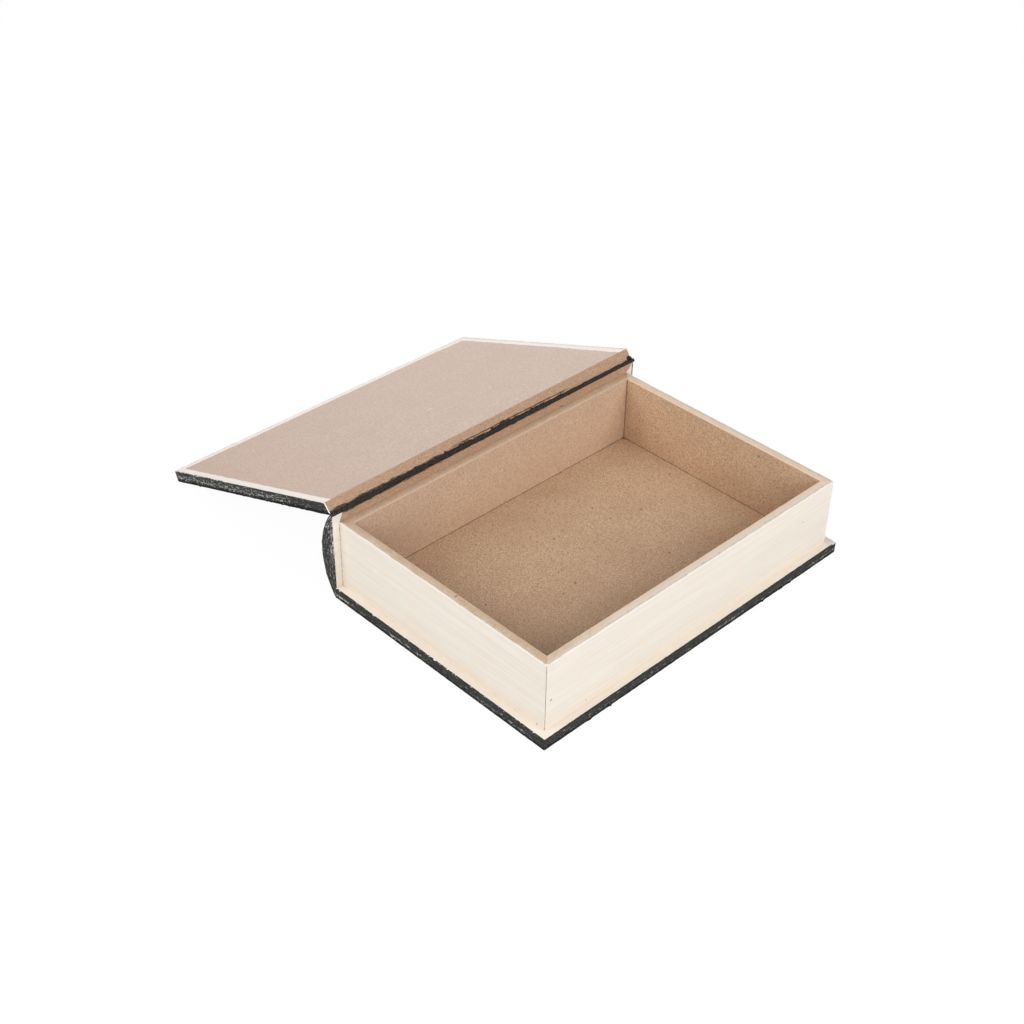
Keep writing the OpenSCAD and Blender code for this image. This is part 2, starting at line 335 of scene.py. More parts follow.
def lid_face(name):
    """The lid's pressed face, painted paler than the floor's fibreboard as sheen, with a near-white border
    brushed round three sides.
    """
    tint = colours()
    made, tree, shader, place = new_surface(name, 1.5)
    # Painted sheen: the lid's own, paler copy of the pressed face
    colour, fleck = pressed_face(tree, place, tint.lid, tint.lid_dark, tint.lid_pale)
    blotch = grain(tree, place, 2.2, detail=3.0, roughness=0.6)
    colour = paint(tree, blotch, 0.5, 0.68, colour, tint.lid_dark, most=0.6)
    # Pale marks: their middles and their reaches along each axis in millimetres, and how far they cover
    for spot, reach, cover in (
        ((-103.8, 35.1, 64.9), (0.5, 2.2, 0.6), 0.9),
        ((-143.2, 48.6, 50.2), (1.6, 0.9, 1.0), 0.7),
        ((-155.4, 5.9, 45.7), (1.0, 3.4, 1.0), 0.5),
    ):
        colour = mark(tree, place, colour, tint.cream, spot, reach, cover)
    colour = speck(tree, place, colour, tint.speck, spacing_mm=24.0, radius_mm=0.6, most=0.5)
    arris = add(tree, "ShaderNodeAttribute", attribute_name="arris").outputs["Fac"]
    colour = paint(tree, arris, 0.9 * MM, 0.3 * MM, colour, tint.cut_dark, most=0.6)
    # The border's inner line wanders, and its paint is pinker outside, towards the head side
    edge = add(tree, "ShaderNodeAttribute", attribute_name="edge").outputs["Fac"]
    edge = wander(tree, edge, grain(tree, place, 7.0, detail=3.0, roughness=0.6), 0.35 * MM)
    width = sizes().border_width
    colour = paint(tree, edge, width + 0.3 * MM, width - 0.1 * MM, colour, tint.lid_dark, most=0.5)
    side = add(tree, "ShaderNodeSeparateXYZ", {"Vector": place}).outputs["Y"]
    outer = paint(tree, side, 60.0 * MM, 115.0 * MM, tint.border, tint.border_warm, most=0.8)
    blush = paint(tree, edge, 2.6 * MM, 1.0 * MM, tint.border, outer)
    colour = paint(tree, edge, width, width - 0.4 * MM, colour, blush)
    dress(tree, shader, colour, fleck, rough=(0.42, 0.52), depth_mm=0.03, strength=0.5)
    return made


def cut_fibreboard(name, painted_ends):
    """Planed fibreboard edge: open and streaked along the board, with the hinge's glue trailing over it."""
    tint = colours()
    made, tree, shader, place = new_surface(name, 1.45)
    streak = grain(tree, place, 0.8, detail=3.0, roughness=0.6, stretch=(1.0, 4.0, 1.0))
    pits = grain(tree, place, 0.9, roughness=0.6)
    trail = grain(tree, place, 0.6, detail=3.0, roughness=0.6, stretch=(1.0, 14.0, 1.0))
    colour = paint(tree, streak, 0.4, 0.7, tint.cut_board, tint.cut_pale)
    colour = paint(tree, pits, 0.52, 0.36, colour, tint.cut_dark, most=0.8)
    from_hinge = add(tree, "ShaderNodeAttribute", attribute_name="from_hinge").outputs["Fac"]
    glued = wander(tree, from_hinge, trail, 1.0 * MM)
    colour = paint(tree, glued, 0.25 * MM, 0.0, colour, tint.cloth, most=0.9)
    if painted_ends:
        colour = speck(tree, place, colour, tint.speck, spacing_mm=9.0, radius_mm=0.5, most=0.7)
        colour = mark(tree, place, colour, tint.leather_dark, (-89.0, 61.5, 54.9), (0.8, 0.8, 0.8), most=1.0)
        past = add(tree, "ShaderNodeAttribute", attribute_name="past").outputs["Fac"]
        past = wander(tree, past, grain(tree, place, 1.6, detail=3.0, roughness=0.6), 0.5 * MM)
        colour = paint(tree, past, -0.15 * MM, 0.15 * MM, colour, brushed_cream(tree, place)[0])
    else:
        colour = loose_thread(tree, colour, wander(tree, from_hinge, trail, 0.3 * MM))
    dress(tree, shader, colour, streak, rough=(0.7, 0.85), depth_mm=0.08, strength=0.6)
    return made


def loose_thread(tree, colour, from_hinge):
    """A dark thread along the lid's bevel, past the edge of the cloth, that thins out at its ends."""
    apart = add(tree, "ShaderNodeAttribute", attribute_name="apart").outputs["Fac"]
    off = add(tree, "ShaderNodeMath", {0: from_hinge, 1: 0.95 * MM}, operation="SUBTRACT").outputs["Value"]
    off = add(tree, "ShaderNodeMath", {0: off}, operation="ABSOLUTE").outputs["Value"]
    off = add(tree, "ShaderNodeMath", {0: off, 1: apart}, operation="ADD").outputs["Value"]
    return paint(tree, off, 0.45 * MM, 0.2 * MM, colour, colours().cloth, most=0.9)


def brushed_cream(tree, place):
    """Cream paint dragged along the boards so that it looks like page edges, and its lines as a relief.

    Real bristle lines are about 0.3 mm apart, less than a pixel of the render, so they are drawn at 0.8 mm.
    """
    tint = colours()
    lines = grain(tree, place, 0.8, roughness=0.6, stretch=(60.0, 60.0, 1.0))
    bands = grain(tree, place, 4.0, stretch=(30.0, 30.0, 1.0))
    cloud = grain(tree, place, 14.0)
    colour = paint(tree, lines, 0.56, 0.38, tint.cream, tint.cream_dark, most=0.45)
    colour = paint(tree, bands, 0.6, 0.4, colour, tint.cream_dark, most=0.25)
    colour = paint(tree, cloud, 0.45, 0.75, colour, tint.warm_foot, most=0.3)
    # Warmer towards the foot of the walls, and paler again on the ledge below them
    height = add(tree, "ShaderNodeSeparateXYZ", {"Vector": place}).outputs["Z"]
    foot = wander(tree, height, cloud, 2.0 * MM)
    colour = paint(tree, foot, LEDGE_Z + 7.0 * MM, LEDGE_Z + 0.8 * MM, colour, tint.warm_foot, most=0.6)
    return paint(tree, height, LEDGE_Z + 0.4 * MM, LEDGE_Z + 0.1 * MM, colour, tint.cream, most=0.5), lines


def cream_page_paint(name):
    """Water-based cream paint, brushed: satin off-white with fine raised lines and a few dark marks."""
    tint = colours()
    made, tree, shader, place = new_surface(name, 1.5)
    colour, lines = brushed_cream(tree, place)
    # The marks' middles and radii in millimetres
    for spot, radius in (
        ((83.5, -119.9, 28.2), 1.1), ((77.6, -124.0, 9.1), 0.7), ((83.4, -124.0, 9.4), 0.8),
        ((83.5, -91.8, 10.3), 0.6), ((83.5, 96.7, 37.3), 0.6),
    ):
        colour = mark(tree, place, colour, tint.grime, spot, (radius, radius, radius), most=0.8)
    dress(tree, shader, colour, lines, rough=(0.66, 0.58), depth_mm=0.07, strength=0.5)
    return made


def washed_rim(name, painted):
    """Fibreboard rim that thinned paint was wiped over: a beige body with a paler line along its inner arris.
    """
    tint = colours()
    made, tree, shader, place = new_surface(name, 1.48)
    fleck = grain(tree, place, 0.9, detail=2.5, roughness=0.6)
    drift = grain(tree, place, 14.0, detail=3.0, roughness=0.6)
    drag = grain(tree, place, 0.9, detail=3.0, roughness=0.65, stretch=(4.0, 4.0, 1.0))
    colour = paint(tree, fleck, 0.45, 0.7, tint.rim_board, tint.rim_dark)
    colour = paint(tree, drag, 0.55, 0.72, colour, tint.rim_wash, most=0.5)
    colour = paint(tree, drift, 0.4, 0.7, colour, tint.rim_arris, most=0.5)
    # This runs from 0 at the rim's inner arris to 1 at its outer one
    across = add(tree, "ShaderNodeAttribute", attribute_name="across").outputs["Fac"]
    across = wander(tree, wander(tree, across, drift, 0.07), fleck, 0.03)
    colour = paint(tree, across, 0.17, 0.08, colour, tint.rim_arris)
    if painted:
        colour = painted_rim(tree, place, colour, across, drag)
    dress(tree, shader, colour, fleck, rough=(0.65, 0.75), depth_mm=0.06, strength=0.5)
    return made


def painted_rim(tree, place, colour, across, drag):
    """The page paint's edge on the rim: smears, a grey line of painted shade, a pale line of painted
    highlight, and three marks.
    """
    tint = colours()
    wash = add(tree, "ShaderNodeAttribute", attribute_name="wash").outputs["Fac"]
    patch = grain(tree, place, 3.0, detail=3.0, roughness=0.6, stretch=(3.0, 3.0, 1.0))
    colour = paint(tree, wander(tree, wash, patch, 0.2), 0.0, 1.0, colour, tint.rim_pale)
    streak = grain(tree, place, 2.2, detail=3.0, roughness=0.65, stretch=(3.0, 3.0, 1.0))
    spread = {0: wash, 1: 0.5, 2: wander(tree, across, streak, 0.25)}
    smear = add(tree, "ShaderNodeMath", spread, operation="MULTIPLY_ADD").outputs["Value"]
    colour = paint(tree, smear, 0.82, 1.02, colour, tint.rim_wash, most=0.8)
    colour = paint(tree, wander(tree, smear, drag, 0.4), 1.22, 1.36, colour, tint.grey_smear_and_ridge_shade, most=0.5)
    # Painted shade: a grey line beside the paint's ridge, where the paint ends on the rim
    colour = paint(tree, across, 0.74, 0.8, colour, tint.grey_smear_and_ridge_shade, most=0.6)
    # Painted highlight: the page paint over the outer arris, laid in the border's near-white, brighter than
    # the walls' cream
    colour = paint(tree, across, 0.84, 0.9, colour, tint.border, most=0.95)
    # Painted shade in the saw nick, and the chipped corner with its grey middle, in millimetres
    nick = ((SPINE_X + sizes().nick_x) / MM, (WALL - HALF_WALLS) / MM - 1.6, RIM_Z / MM - 0.5)
    for over, spot, reach in (
        (tint.speck, nick, (0.5, 1.7, 1.4)),
        (tint.border, (82.2, -122.9, 54.8), (1.3, 1.3, 2.0)),
        (tint.grime, (83.4, -123.4, 54.2), (0.7, 0.7, 0.9)),
    ):
        colour = mark(tree, place, colour, over, spot, reach, most=0.8)
    return colour


def leatherette(name):
    """Paper-backed leatherette, rubbed to look old: near-black with a fine grain and chalky flecks.

    Its embossed grain is about 0.3 mm wide, less than a pixel of the render, so it is drawn at 0.55 mm.
    """
    tint = colours()
    made, tree, shader, place = new_surface(name, 1.2)
    course = add(tree, "ShaderNodeAttribute", attribute_name="course").outputs["Vector"]
    weave = grain(tree, place, 0.55, roughness=0.6)
    streak = grain(tree, course, 0.8, roughness=0.6, stretch=(7.0, 1.0, 7.0))
    chip = grain(tree, course, 1.1, roughness=0.75, stretch=(1.6, 1.0, 1.6))
    colour = paint(tree, weave, 0.35, 0.62, tint.leather_dark, tint.leather)
    # Rubbed to grey, then through to the backing, and never in the deepest hollows; along the fold it is
    # painted near-black as shade
    worn = add(tree, "ShaderNodeAttribute", attribute_name="worn").outputs["Fac"]
    worn = wander(tree, wander(tree, worn, streak, 0.45), chip, 0.26)
    colour = paint(tree, worn, 0.34, 0.46, colour, tint.leather_pale)
    colour = paint(tree, worn, 0.6, 0.7, colour, tint.scuff, most=0.9)
    colour = paint(tree, chip, 0.45, 0.37, colour, tint.leather_dark, most=0.85)
    # Painted shade: near-black where the sheet turns under its board
    fold = add(tree, "ShaderNodeAttribute", attribute_name="fold").outputs["Fac"]
    fold = wander(tree, fold, chip, 0.5 * MM)
    colour = paint(tree, fold, 1.3 * MM, 0.8 * MM, colour, tint.fold, most=0.95)
    dress(tree, shader, colour, weave, rough=(0.8, 0.62), depth_mm=0.12, strength=0.7)
    return made


def torn_rim(name):
    """The leatherette's cut edge: dragged over with pale paint, and dark where it stayed bare."""
    tint = colours()
    made, tree, shader, place = new_surface(name, 1.4)
    patch = grain(tree, place, 1.8, detail=3.0, roughness=0.6)
    bare_here = add(tree, "ShaderNodeAttribute", attribute_name="bare").outputs["Fac"]
    drag = add(tree, "ShaderNodeMath", {0: patch, 1: bare_here}, operation="SUBTRACT").outputs["Value"]
    colour = paint(tree, drag, 0.18, 0.25, tint.leather_dark, tint.border)
    dress(tree, shader, colour, patch, rough=(0.7, 0.65), depth_mm=0.08, strength=0.5)
    return made


def hinge_cloth(name):
    """Bookbinding cloth soaked in black glue: near-black, lumpy, with small satin glints, partly painted as
    paler lumps.

    The lumps of glue are about 0.5 mm across and are drawn at 0.8 mm, so that they show in the render.
    """
    tint = colours()
    made, tree, shader, place = new_surface(name, 1.27)
    lump = grain(tree, place, 0.8, detail=2.5, roughness=0.6)
    # Paler lumps: glue lumps, and painted glints
    colour = paint(tree, lump, 0.45, 0.65, tint.cloth, tint.glue_lumps_and_glints)
    dress(tree, shader, colour, lump, rough=(0.6, 0.45), depth_mm=0.2, strength=0.8)
    return made


def brad_steel(name):
    """Drawn steel wire: bright metal, finely clouded by the drawing die.

    The die's marks are a few hundredths of a millimetre wide and are drawn at 0.12 mm.
    """
    tint = colours()
    made, tree, shader, place = new_surface(name, 1.5)
    shader.inputs["Metallic"].default_value = 1.0
    marks = grain(tree, place, 0.12)
    colour = paint(tree, marks, 0.3, 0.7, tint.steel, tint.steel_dark)
    dress(tree, shader, colour, marks, rough=(0.28, 0.42), depth_mm=0.01, strength=0.3)
    return made


def start_cube(low, high):
    """A box between two corners, to be worked further."""
    bm = bmesh.new()
    bmesh.ops.create_cube(bm, size=1.0)
    low, high = Vector(low), Vector(high)
    bmesh.ops.scale(bm, verts=bm.verts, vec=high - low)
    bmesh.ops.translate(bm, verts=bm.verts, vec=(low + high) / 2)
    return bm


def edges_along(bm, axis, test=None):
    """The edges that run along an axis and whose middle passes a test."""
    found = []
    for edge in bm.edges:
        run = edge.verts[1].co - edge.verts[0].co
        if run.length > MERGE and abs(run[axis]) > ALIGNED * run.length:
            middle = (edge.verts[0].co + edge.verts[1].co) / 2
            if test is None or test(middle):
                found.append(edge)
    return found


def round_edges(bm, edges, radius, segments=2):
    bmesh.ops.bevel(
        bm, geom=edges, offset=radius, offset_type="OFFSET", affect="EDGES", segments=segments, profile=0.5,
        material=-1, clamp_overlap=True
    )


def cut_rows(bm, edges, step):
    """Divides the long ones of these edges into even steps, so that later moves have points to work on."""
    long_ones = [e for e in edges if e.calc_length() > LONG_EDGE]
    if long_ones:
        cuts = max(1, round(max(e.calc_length() for e in long_ones) / step) - 1)
        bmesh.ops.subdivide_edges(bm, edges=long_ones, cuts=cuts, use_grid_fill=True)


def cut_plane(bm, place, normal, clear_outer=False, faces=None):
    """Cuts the whole piece, or only some of its faces, along a plane."""
    if faces is None:
        geom = bm.verts[:] + bm.edges[:] + bm.faces[:]
    else:
        geom = list(dict.fromkeys(part for face in faces for part in (*face.verts, *face.edges, face)))
    bmesh.ops.bisect_plane(
        bm, geom=geom, dist=MERGE, plane_co=place, plane_no=normal, clear_outer=clear_outer
    )


def cut_across(bm, axis, places, pick=None):
    """Cuts the piece, or only the faces that pass a test, square to an axis at each of these places."""
    normal = Vector([float(i == axis) for i in range(3)])
    for place in places:
        faces = None
        if pick:
            bm.normal_update()
            faces = [f for f in bm.faces if pick(f)]
        cut_plane(bm, normal * place, normal, faces=faces)


def wave(co, size_mm, seed=0.0):
    """Smooth repeatable unevenness from -1 to 1 with bumps of this size."""
    return noise.noise(Vector(co) * per(size_mm) + Vector((seed, 1.7 * seed, 3.1 * seed)))


def ramp(at, start_mm, run_mm, low=0.0):
    """Rises evenly from 0 at the start to 1 a run past it, and is never under low."""
    return min(1.0, max(low, (at - start_mm * MM) / (run_mm * MM)))


def fade(distance, reach_mm):
    """Falls evenly from 1 at a place to 0 at this reach from it."""
    return max(0.0, 1.0 - abs(distance) / (reach_mm * MM))


def store(bm, name, value):
    """Keeps a number for each point, for the materials to read."""
    layer = bm.verts.layers.float.get(name) or bm.verts.layers.float.new(name)
    for vert in bm.verts:
        vert[layer] = value(vert.co)


def store_course(bm, place):
    """Keeps a vector for the leatherette: along its edge, away from its fold, and a third way across."""
    layer = bm.verts.layers.float_vector.new("course")
    for vert in bm.verts:
        along, off, across = place(vert.co)
        vert[layer] = Vector((along + across, off, along - across))


def finish_piece(bm, name, body, nodes, materials, sharp_deg=40.0, thickness=0.0, rim_offset=0):
    """Makes the piece's object, smooths it, ties it to its body and finish, and hides its CAD nodes."""
    mesh = bpy.data.meshes.new(name)
    for face in bm.faces:
        face.smooth = True
    bm.to_mesh(mesh)
    bm.free()
    mesh.set_sharp_from_angle(angle=math.radians(sharp_deg))
    piece = bpy.data.objects.new(name, mesh)
    bpy.context.scene.collection.objects.link(piece)
    for finish in materials:
        mesh.materials.append(finish)
    if thickness:
        thicken(piece, thickness, rim_offset, sharp_deg)
    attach(piece, body)
    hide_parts(*nodes)


def thicken(piece, thickness, rim_offset, sharp_deg):
    """Gives a glued sheet its thickness, inward from its outer face, with sharp arrises at its cut edges."""
    solid = piece.modifiers.new("thickness", "SOLIDIFY")
    solid.thickness = thickness
    solid.offset = -1.0
    solid.use_even_offset = True
    solid.material_offset_rim = rim_offset
    graph = bpy.context.evaluated_depsgraph_get()
    thin = piece.data
    solved = piece.evaluated_get(graph)
    thick = bpy.data.meshes.new_from_object(solved, preserve_all_data_layers=True, depsgraph=graph)
    piece.modifiers.clear()
    piece.data = thick
    bpy.data.meshes.remove(thin)
    thick.name = piece.name
    thick.set_sharp_from_angle(angle=math.radians(sharp_deg))


def material(name, make, *values):
    """The material of this name, made the first time it is asked for."""
    return bpy.data.materials.get(name) or make(name, *values)


def cream():
    return material("cream_page_paint", cream_page_paint)


def bare():
    return material("bare_fibreboard", fibreboard_face)


def leather():
    return material("distressed_leatherette", leatherette)


def torn_leather():
    """The leatherette and its cut edge, in the order that a sheet's faces and its rim take them."""
    return [leather(), material("torn_cover_edge", torn_rim)]


def glued_cloth():
    return [material("glued_hinge_cloth", hinge_cloth)]


def seen_directly(tree):
    """1 for what the camera sees, also by way of a mirror or glass, and 0 for what only lights the box."""
    rays = add(tree, "ShaderNodeLightPath").outputs
    either = {0: rays["Is Camera Ray"], 1: rays["Is Glossy Ray"]}
    either = add(tree, "ShaderNodeMath", either, operation="MAXIMUM").outputs["Value"]
    any_of = {0: either, 1: rays["Is Transmission Ray"]}
    return add(tree, "ShaderNodeMath", any_of, operation="MAXIMUM").outputs["Value"]


class BOOKBOX_OT_stage(Operator):
    """Lays the floor, hangs the lamps and sets the camera"""
    bl_idname = "book_box.stage"
    bl_label = "Stage"
    FLOOR_Z = -0.05 * MM  # just under the box, so that the two faces don't flicker
    PAPER_WHITE = 0.965  # with the faint paper's own light, this renders as plain white
    LAMP_WIDTH = 1.9
    LAMP_DISTANCE = 3.0
    AIM = Vector((0.0, 0.0, 0.03))

    def execute(self, context):
        stage = context.scene.book_box_stage
        bm = bmesh.new()
        bmesh.ops.create_grid(bm, x_segments=1, y_segments=1, size=stage.floor_half)
        bmesh.ops.translate(bm, verts=bm.verts, vec=(0.0, 0.0, self.FLOOR_Z))
        mesh = bpy.data.meshes.new("studio_floor")
        bm.to_mesh(mesh)
        bm.free()
        floor = bpy.data.objects.new("studio_floor", mesh)
        context.scene.collection.objects.link(floor)
        mesh.materials.append(self.floor_paper())
        self.surround(stage.sky)
        self.lamp("front_lamp", -45.0, 26.0, stage.front)
        self.lamp("left_lamp", -113.0, 40.0, stage.left)
        self.lamp("right_lamp", 12.0, 40.0, stage.right)
        self.lamp("back_lamp", 146.0, 15.0, stage.back)
        self.lamp("side_lamp", -135.0, 45.0, stage.side)
        data = bpy.data.cameras.new("camera")
        data.lens = stage.lens
        data.sensor_width = SENSOR_WIDTH
        data.clip_start = 0.01
        camera = bpy.data.objects.new("camera", data)
        camera.location = stage.camera_place
        camera.rotation_euler = stage.camera_turn
        context.scene.collection.objects.link(camera)
        context.scene.camera = camera
        context.scene.view_settings.view_transform = "Standard"
        return {"FINISHED"}

    def floor_paper(self):
        """Seamless white paper: pure white to the eye, with a faint shadow under the box."""
        paper = bpy.data.materials.new("white_paper")
        paper.use_nodes = True
        tree = paper.node_tree
        tree.nodes.clear()
        seen = seen_directly(tree)
        plain = add(tree, "ShaderNodeBsdfDiffuse", {"Color": colours().paper}).outputs["BSDF"]
        faint = add(tree, "ShaderNodeBsdfDiffuse", {"Color": (0.05, 0.05, 0.05, 1.0)}).outputs["BSDF"]
        glow = {"Color": WHITE, "Strength": self.PAPER_WHITE}
        glow = add(tree, "ShaderNodeEmission", glow).outputs["Emission"]
        white = add(tree, "ShaderNodeAddShader", {0: faint, 1: glow}).outputs["Shader"]
        mixed = add(tree, "ShaderNodeMixShader", {0: seen, 1: plain, 2: white}).outputs["Shader"]
        add(tree, "ShaderNodeOutputMaterial", {"Surface": mixed})
        return paper

    def surround(self, strength):
        """An even white surround that is pure white wherever it is seen or mirrored."""
        world = bpy.data.worlds.new("white_surround")
        world.use_nodes = True
        bpy.context.scene.world = world
        tree = world.node_tree
        tree.nodes.clear()
        spread = {"Value": seen_directly(tree), "To Min": strength, "To Max": 1.0}
        light = add(tree, "ShaderNodeMapRange", spread).outputs["Result"]
        sky = add(tree, "ShaderNodeBackground", {"Color": WHITE, "Strength": light}).outputs["Background"]
        add(tree, "ShaderNodeOutputWorld", {"Surface": sky})

    def lamp(self, name, bearing, height, power):
        """A round softbox three metres off, seen from the box at a bearing and a height in degrees."""
        data = bpy.data.lights.new(name, "AREA")
        data.shape = "DISK"
        data.size = self.LAMP_WIDTH
        data.energy = power
        lamp = bpy.data.objects.new(name, data)
        turn = Matrix.Rotation(math.radians(bearing), 3, "Z") @ Matrix.Rotation(-math.radians(height), 3, "Y")
        lamp.location = turn @ Vector((self.LAMP_DISTANCE, 0.0, 0.0))
        lamp.rotation_euler = (self.AIM - lamp.location).to_track_quat("-Z", "Y").to_euler()
        lamp.visible_camera = False
        bpy.context.scene.collection.objects.link(lamp)


class BOOKBOX_OT_base_panel(Operator):
    """Makes the base board with its bare floor and its painted ledge"""
    bl_idname = "book_box.base_panel"
    bl_label = "Base board"
    CORNER = 0.8 * MM
    ARRIS = 0.25 * MM
    ROW = 6 * MM
    PAINT_DIP = 0.12 * MM

    def execute(self, context):
        bm = start_cube(PANEL_LO, PANEL_HI)
        round_edges(bm, edges_along(bm, 2, lambda p: p.x > PANEL_HI.x - MM), self.CORNER, 3)
        top = [e for e in bm.edges if all(v.co.z > PANEL_HI.z - TOUCH for v in e.verts)]
        round_edges(bm, [e for e in top if any(v.co.x > SPINE_X + TOUCH for v in e.verts)], self.ARRIS, 2)
        # The floor ends under the middle of the walls
        half_y = HALF_WALLS - WALL / 2
        far_x = WALL_FORE_X - WALL / 2
        near_x = SPINE_X + WALL / 2
        cut_across(bm, 1, (half_y, -half_y))
        cut_across(bm, 0, (far_x, near_x))
        cut_rows(bm, edges_along(bm, 0), self.ROW)
        cut_rows(bm, edges_along(bm, 1), self.ROW)
        bm.normal_update()
        for face in bm.faces:
            at = face.calc_center_median()
            on_floor = face.normal.z > ALIGNED and abs(at.y) < half_y and near_x < at.x < far_x
            face.material_index = 0 if on_floor else 1
        for vert in bm.verts:
            co = vert.co
            if co.z > PANEL_HI.z - MM and (co.y < -HALF_WALLS or co.x > WALL_FORE_X) and co.y < HALF_WALLS:
                vert.co.z -= self.PAINT_DIP * (1 + wave(co, 9.0, 4.0))
        store(bm, "seam", self.from_walls)
        # The dark line where two walls meet is only on the walls, so the floor is far from it
        store(bm, "corner", lambda co: 1.0)
        finish_piece(bm, "base_panel", "box", ["base_board"], [bare(), cream()])
        return {"FINISHED"}

    def from_walls(self, co):
        """Distance from the nearest wall's inner face, kept clear of the dark line along the wall's foot."""
        along = min(co.x - SPINE_X - WALL, WALL_FORE_X - WALL - co.x)
        return min(along, HALF_WALLS - WALL - abs(co.y)) + 0.25 * MM


class BOOKBOX_OT_walls(Operator):
    """Makes the four mitred wall boards with their brushed page lines and wiped rims"""
    bl_idname = "book_box.walls"
    bl_label = "Walls"
    ROW = 3.2 * MM
    UPRIGHT_ARRIS = 0.2 * MM
    RIM_DIP = 0.1 * MM
    PAINT_DIP = 0.12 * MM
    WORN_REACH_MM = 2.6

    def execute(self, context):
        side = HALF_WALLS
        inner = side - WALL
        gap = sizes().mitre_gap * math.sqrt(2)
        near, near_in = SPINE_X, SPINE_X + WALL
        far, far_in = WALL_FORE_X, WALL_FORE_X - WALL
        tail = [(near + gap, -side), (far - gap, -side), (far_in - gap, -inner), (near_in + gap, -inner)]
        head = [(x, -y) for x, y in tail]
        front = [(far, gap - side), (far, side - gap), (far_in, inner - gap), (far_in, gap - inner)]
        back = [(near, gap - side), (near, side - gap), (near_in, inner - gap), (near_in, gap - inner)]
        self.wall("tail_page_wall", "tail_wall", tail, 0, Vector((0, -1, 0)), True)
        self.wall("head_page_wall", "head_wall", head, 0, Vector((0, 1, 0)), True)
        self.wall("fore_edge_page_wall", "fore_edge_wall", front, 1, Vector((1, 0, 0)), True)
        self.wall("spine_side_wall", "spine_wall", back, 1, Vector((-1, 0, 0)), False)
        return {"FINISHED"}

    def wall(self, name, node, outline, axis, out, painted):
        """One wall board, from its outline in plan. out points away from the inside of the box."""
        size = sizes()
        bm = bmesh.new()
        corners = [bm.verts.new((x, y, LEDGE_Z)) for x, y in outline]
        face = bmesh.ops.contextual_create(bm, geom=corners)["faces"][0]
        grown = bmesh.ops.extrude_face_region(bm, geom=[face])["geom"]
        raised = [g for g in grown if isinstance(g, bmesh.types.BMVert)]
        bmesh.ops.translate(bm, verts=raised, vec=(0.0, 0.0, RIM_Z - LEDGE_Z))
        bmesh.ops.recalc_face_normals(bm, faces=bm.faces)
        outer = Vector(outline[0] + (0.0,)).dot(out)
        arrises = edges_along(bm, axis, lambda p: p.z > LEDGE_Z + MM or p.dot(out) < outer - MM)
        round_edges(bm, arrises, size.wall_arris)
        if painted:
            upright = edges_along(bm, 2, lambda p: p.dot(out) > outer - TOUCH)
            round_edges(bm, upright, self.UPRIGHT_ARRIS, 1)
        cut_rows(bm, edges_along(bm, axis), self.ROW)
        if painted:
            bm.normal_update()
            page_edges = {e for f in bm.faces if f.normal.dot(out) > ALIGNED for e in f.edges}
            cut_rows(bm, [e for e in edges_along(bm, 2) if e in page_edges], size.page_step)
        if node == "tail_wall":
            self.nick(bm)
        for vert in bm.verts:
            co = vert.co.copy()
            depth = co.dot(out) - outer
            if painted and depth > -TOUCH and co.z < RIM_Z - MM:
                # Brushed lines, long and a little under a millimetre high, that differ from wall to wall
                line = noise.noise(Vector((co[axis] * per(45.0), co.z * per(0.9), 5.0 + outer * 100)))
                vert.co += out * (size.page_depth * (line - 0.4))
            if co.z > RIM_Z - MM:
                vert.co.z += self.RIM_DIP * (wave(co, 11.0, 2.0) - 0.6)
            if painted and co.z > RIM_Z - MM and depth > -1.5 * MM:
                vert.co -= out * self.PAINT_DIP * abs(wave(co, 5.0, 7.0))
            self.wear_corner(vert, co)
        ends = [p[axis] for p in outline[2:]]
        store(bm, "across", lambda co: min(1.0, max(0.0, 1.0 + (co.dot(out) - outer) / WALL)))
        store(bm, "seam", lambda co: co.z - LEDGE_Z)
        store(bm, "corner", lambda co: min(abs(co[axis] - end) for end in ends))
        store(bm, "wash", lambda co: self.wash(co, out))
        bm.normal_update()
        for face in bm.faces:
            at = face.calc_center_median()
            if face.normal.dot(out) > 0.5 and painted and at.z < RIM_Z - size.wall_arris:
                face.material_index = 1
            elif face.normal.z > 0.15 and at.z > RIM_Z - 3 * MM:
                face.material_index = 2
            else:
                face.material_index = 0
        rim = material("washed_rim_painted" if painted else "washed_rim_plain", washed_rim, painted)
        finish_piece(bm, name, "box", [node], [bare(), cream(), rim])

    def wash(self, co, out):
        """How much paint stayed on the rim: much on the fore edge and head walls, little on the tail wall."""
        if out.y > 0.5:
            return 0.7
        if out.x > 0.5:
            return 0.85 - 0.5 * max(0.0, -1.0 - co.y / (60 * MM))
        return 0.15

    def nick(self, bm):
        """A saw nick in the tail wall's inner arris."""
        size = sizes()
        middle = SPINE_X + size.nick_x
        half = size.nick_width / 2
        inward = -HALF_WALLS + WALL - size.nick_cut
        cut_across(bm, 0, (middle - half, middle, middle + half))
        cut_across(bm, 1, (inward,), lambda f: f.normal.z > ALIGNED)
        for vert in bm.verts:
            co = vert.co
            if abs(co.x - middle) < 0.02 * MM and co.z > RIM_Z - MM and co.y > inward + 0.1 * MM:
                vert.co.z -= size.nick_depth

    def wear_corner(self, vert, co):
        """Knocks down the rim's two fore-edge corners, the tail one most."""
        for y, share in ((-HALF_WALLS, 1.0), (HALF_WALLS, 0.5)):
            far = (Vector((WALL_FORE_X, y, RIM_Z)) - co).length
            drop = sizes().corner_wear * fade(far, self.WORN_REACH_MM) ** 2 * share
            vert.co.z -= drop
            vert.co.x -= 0.5 * drop
            vert.co.y -= math.copysign(0.5 * drop, y)


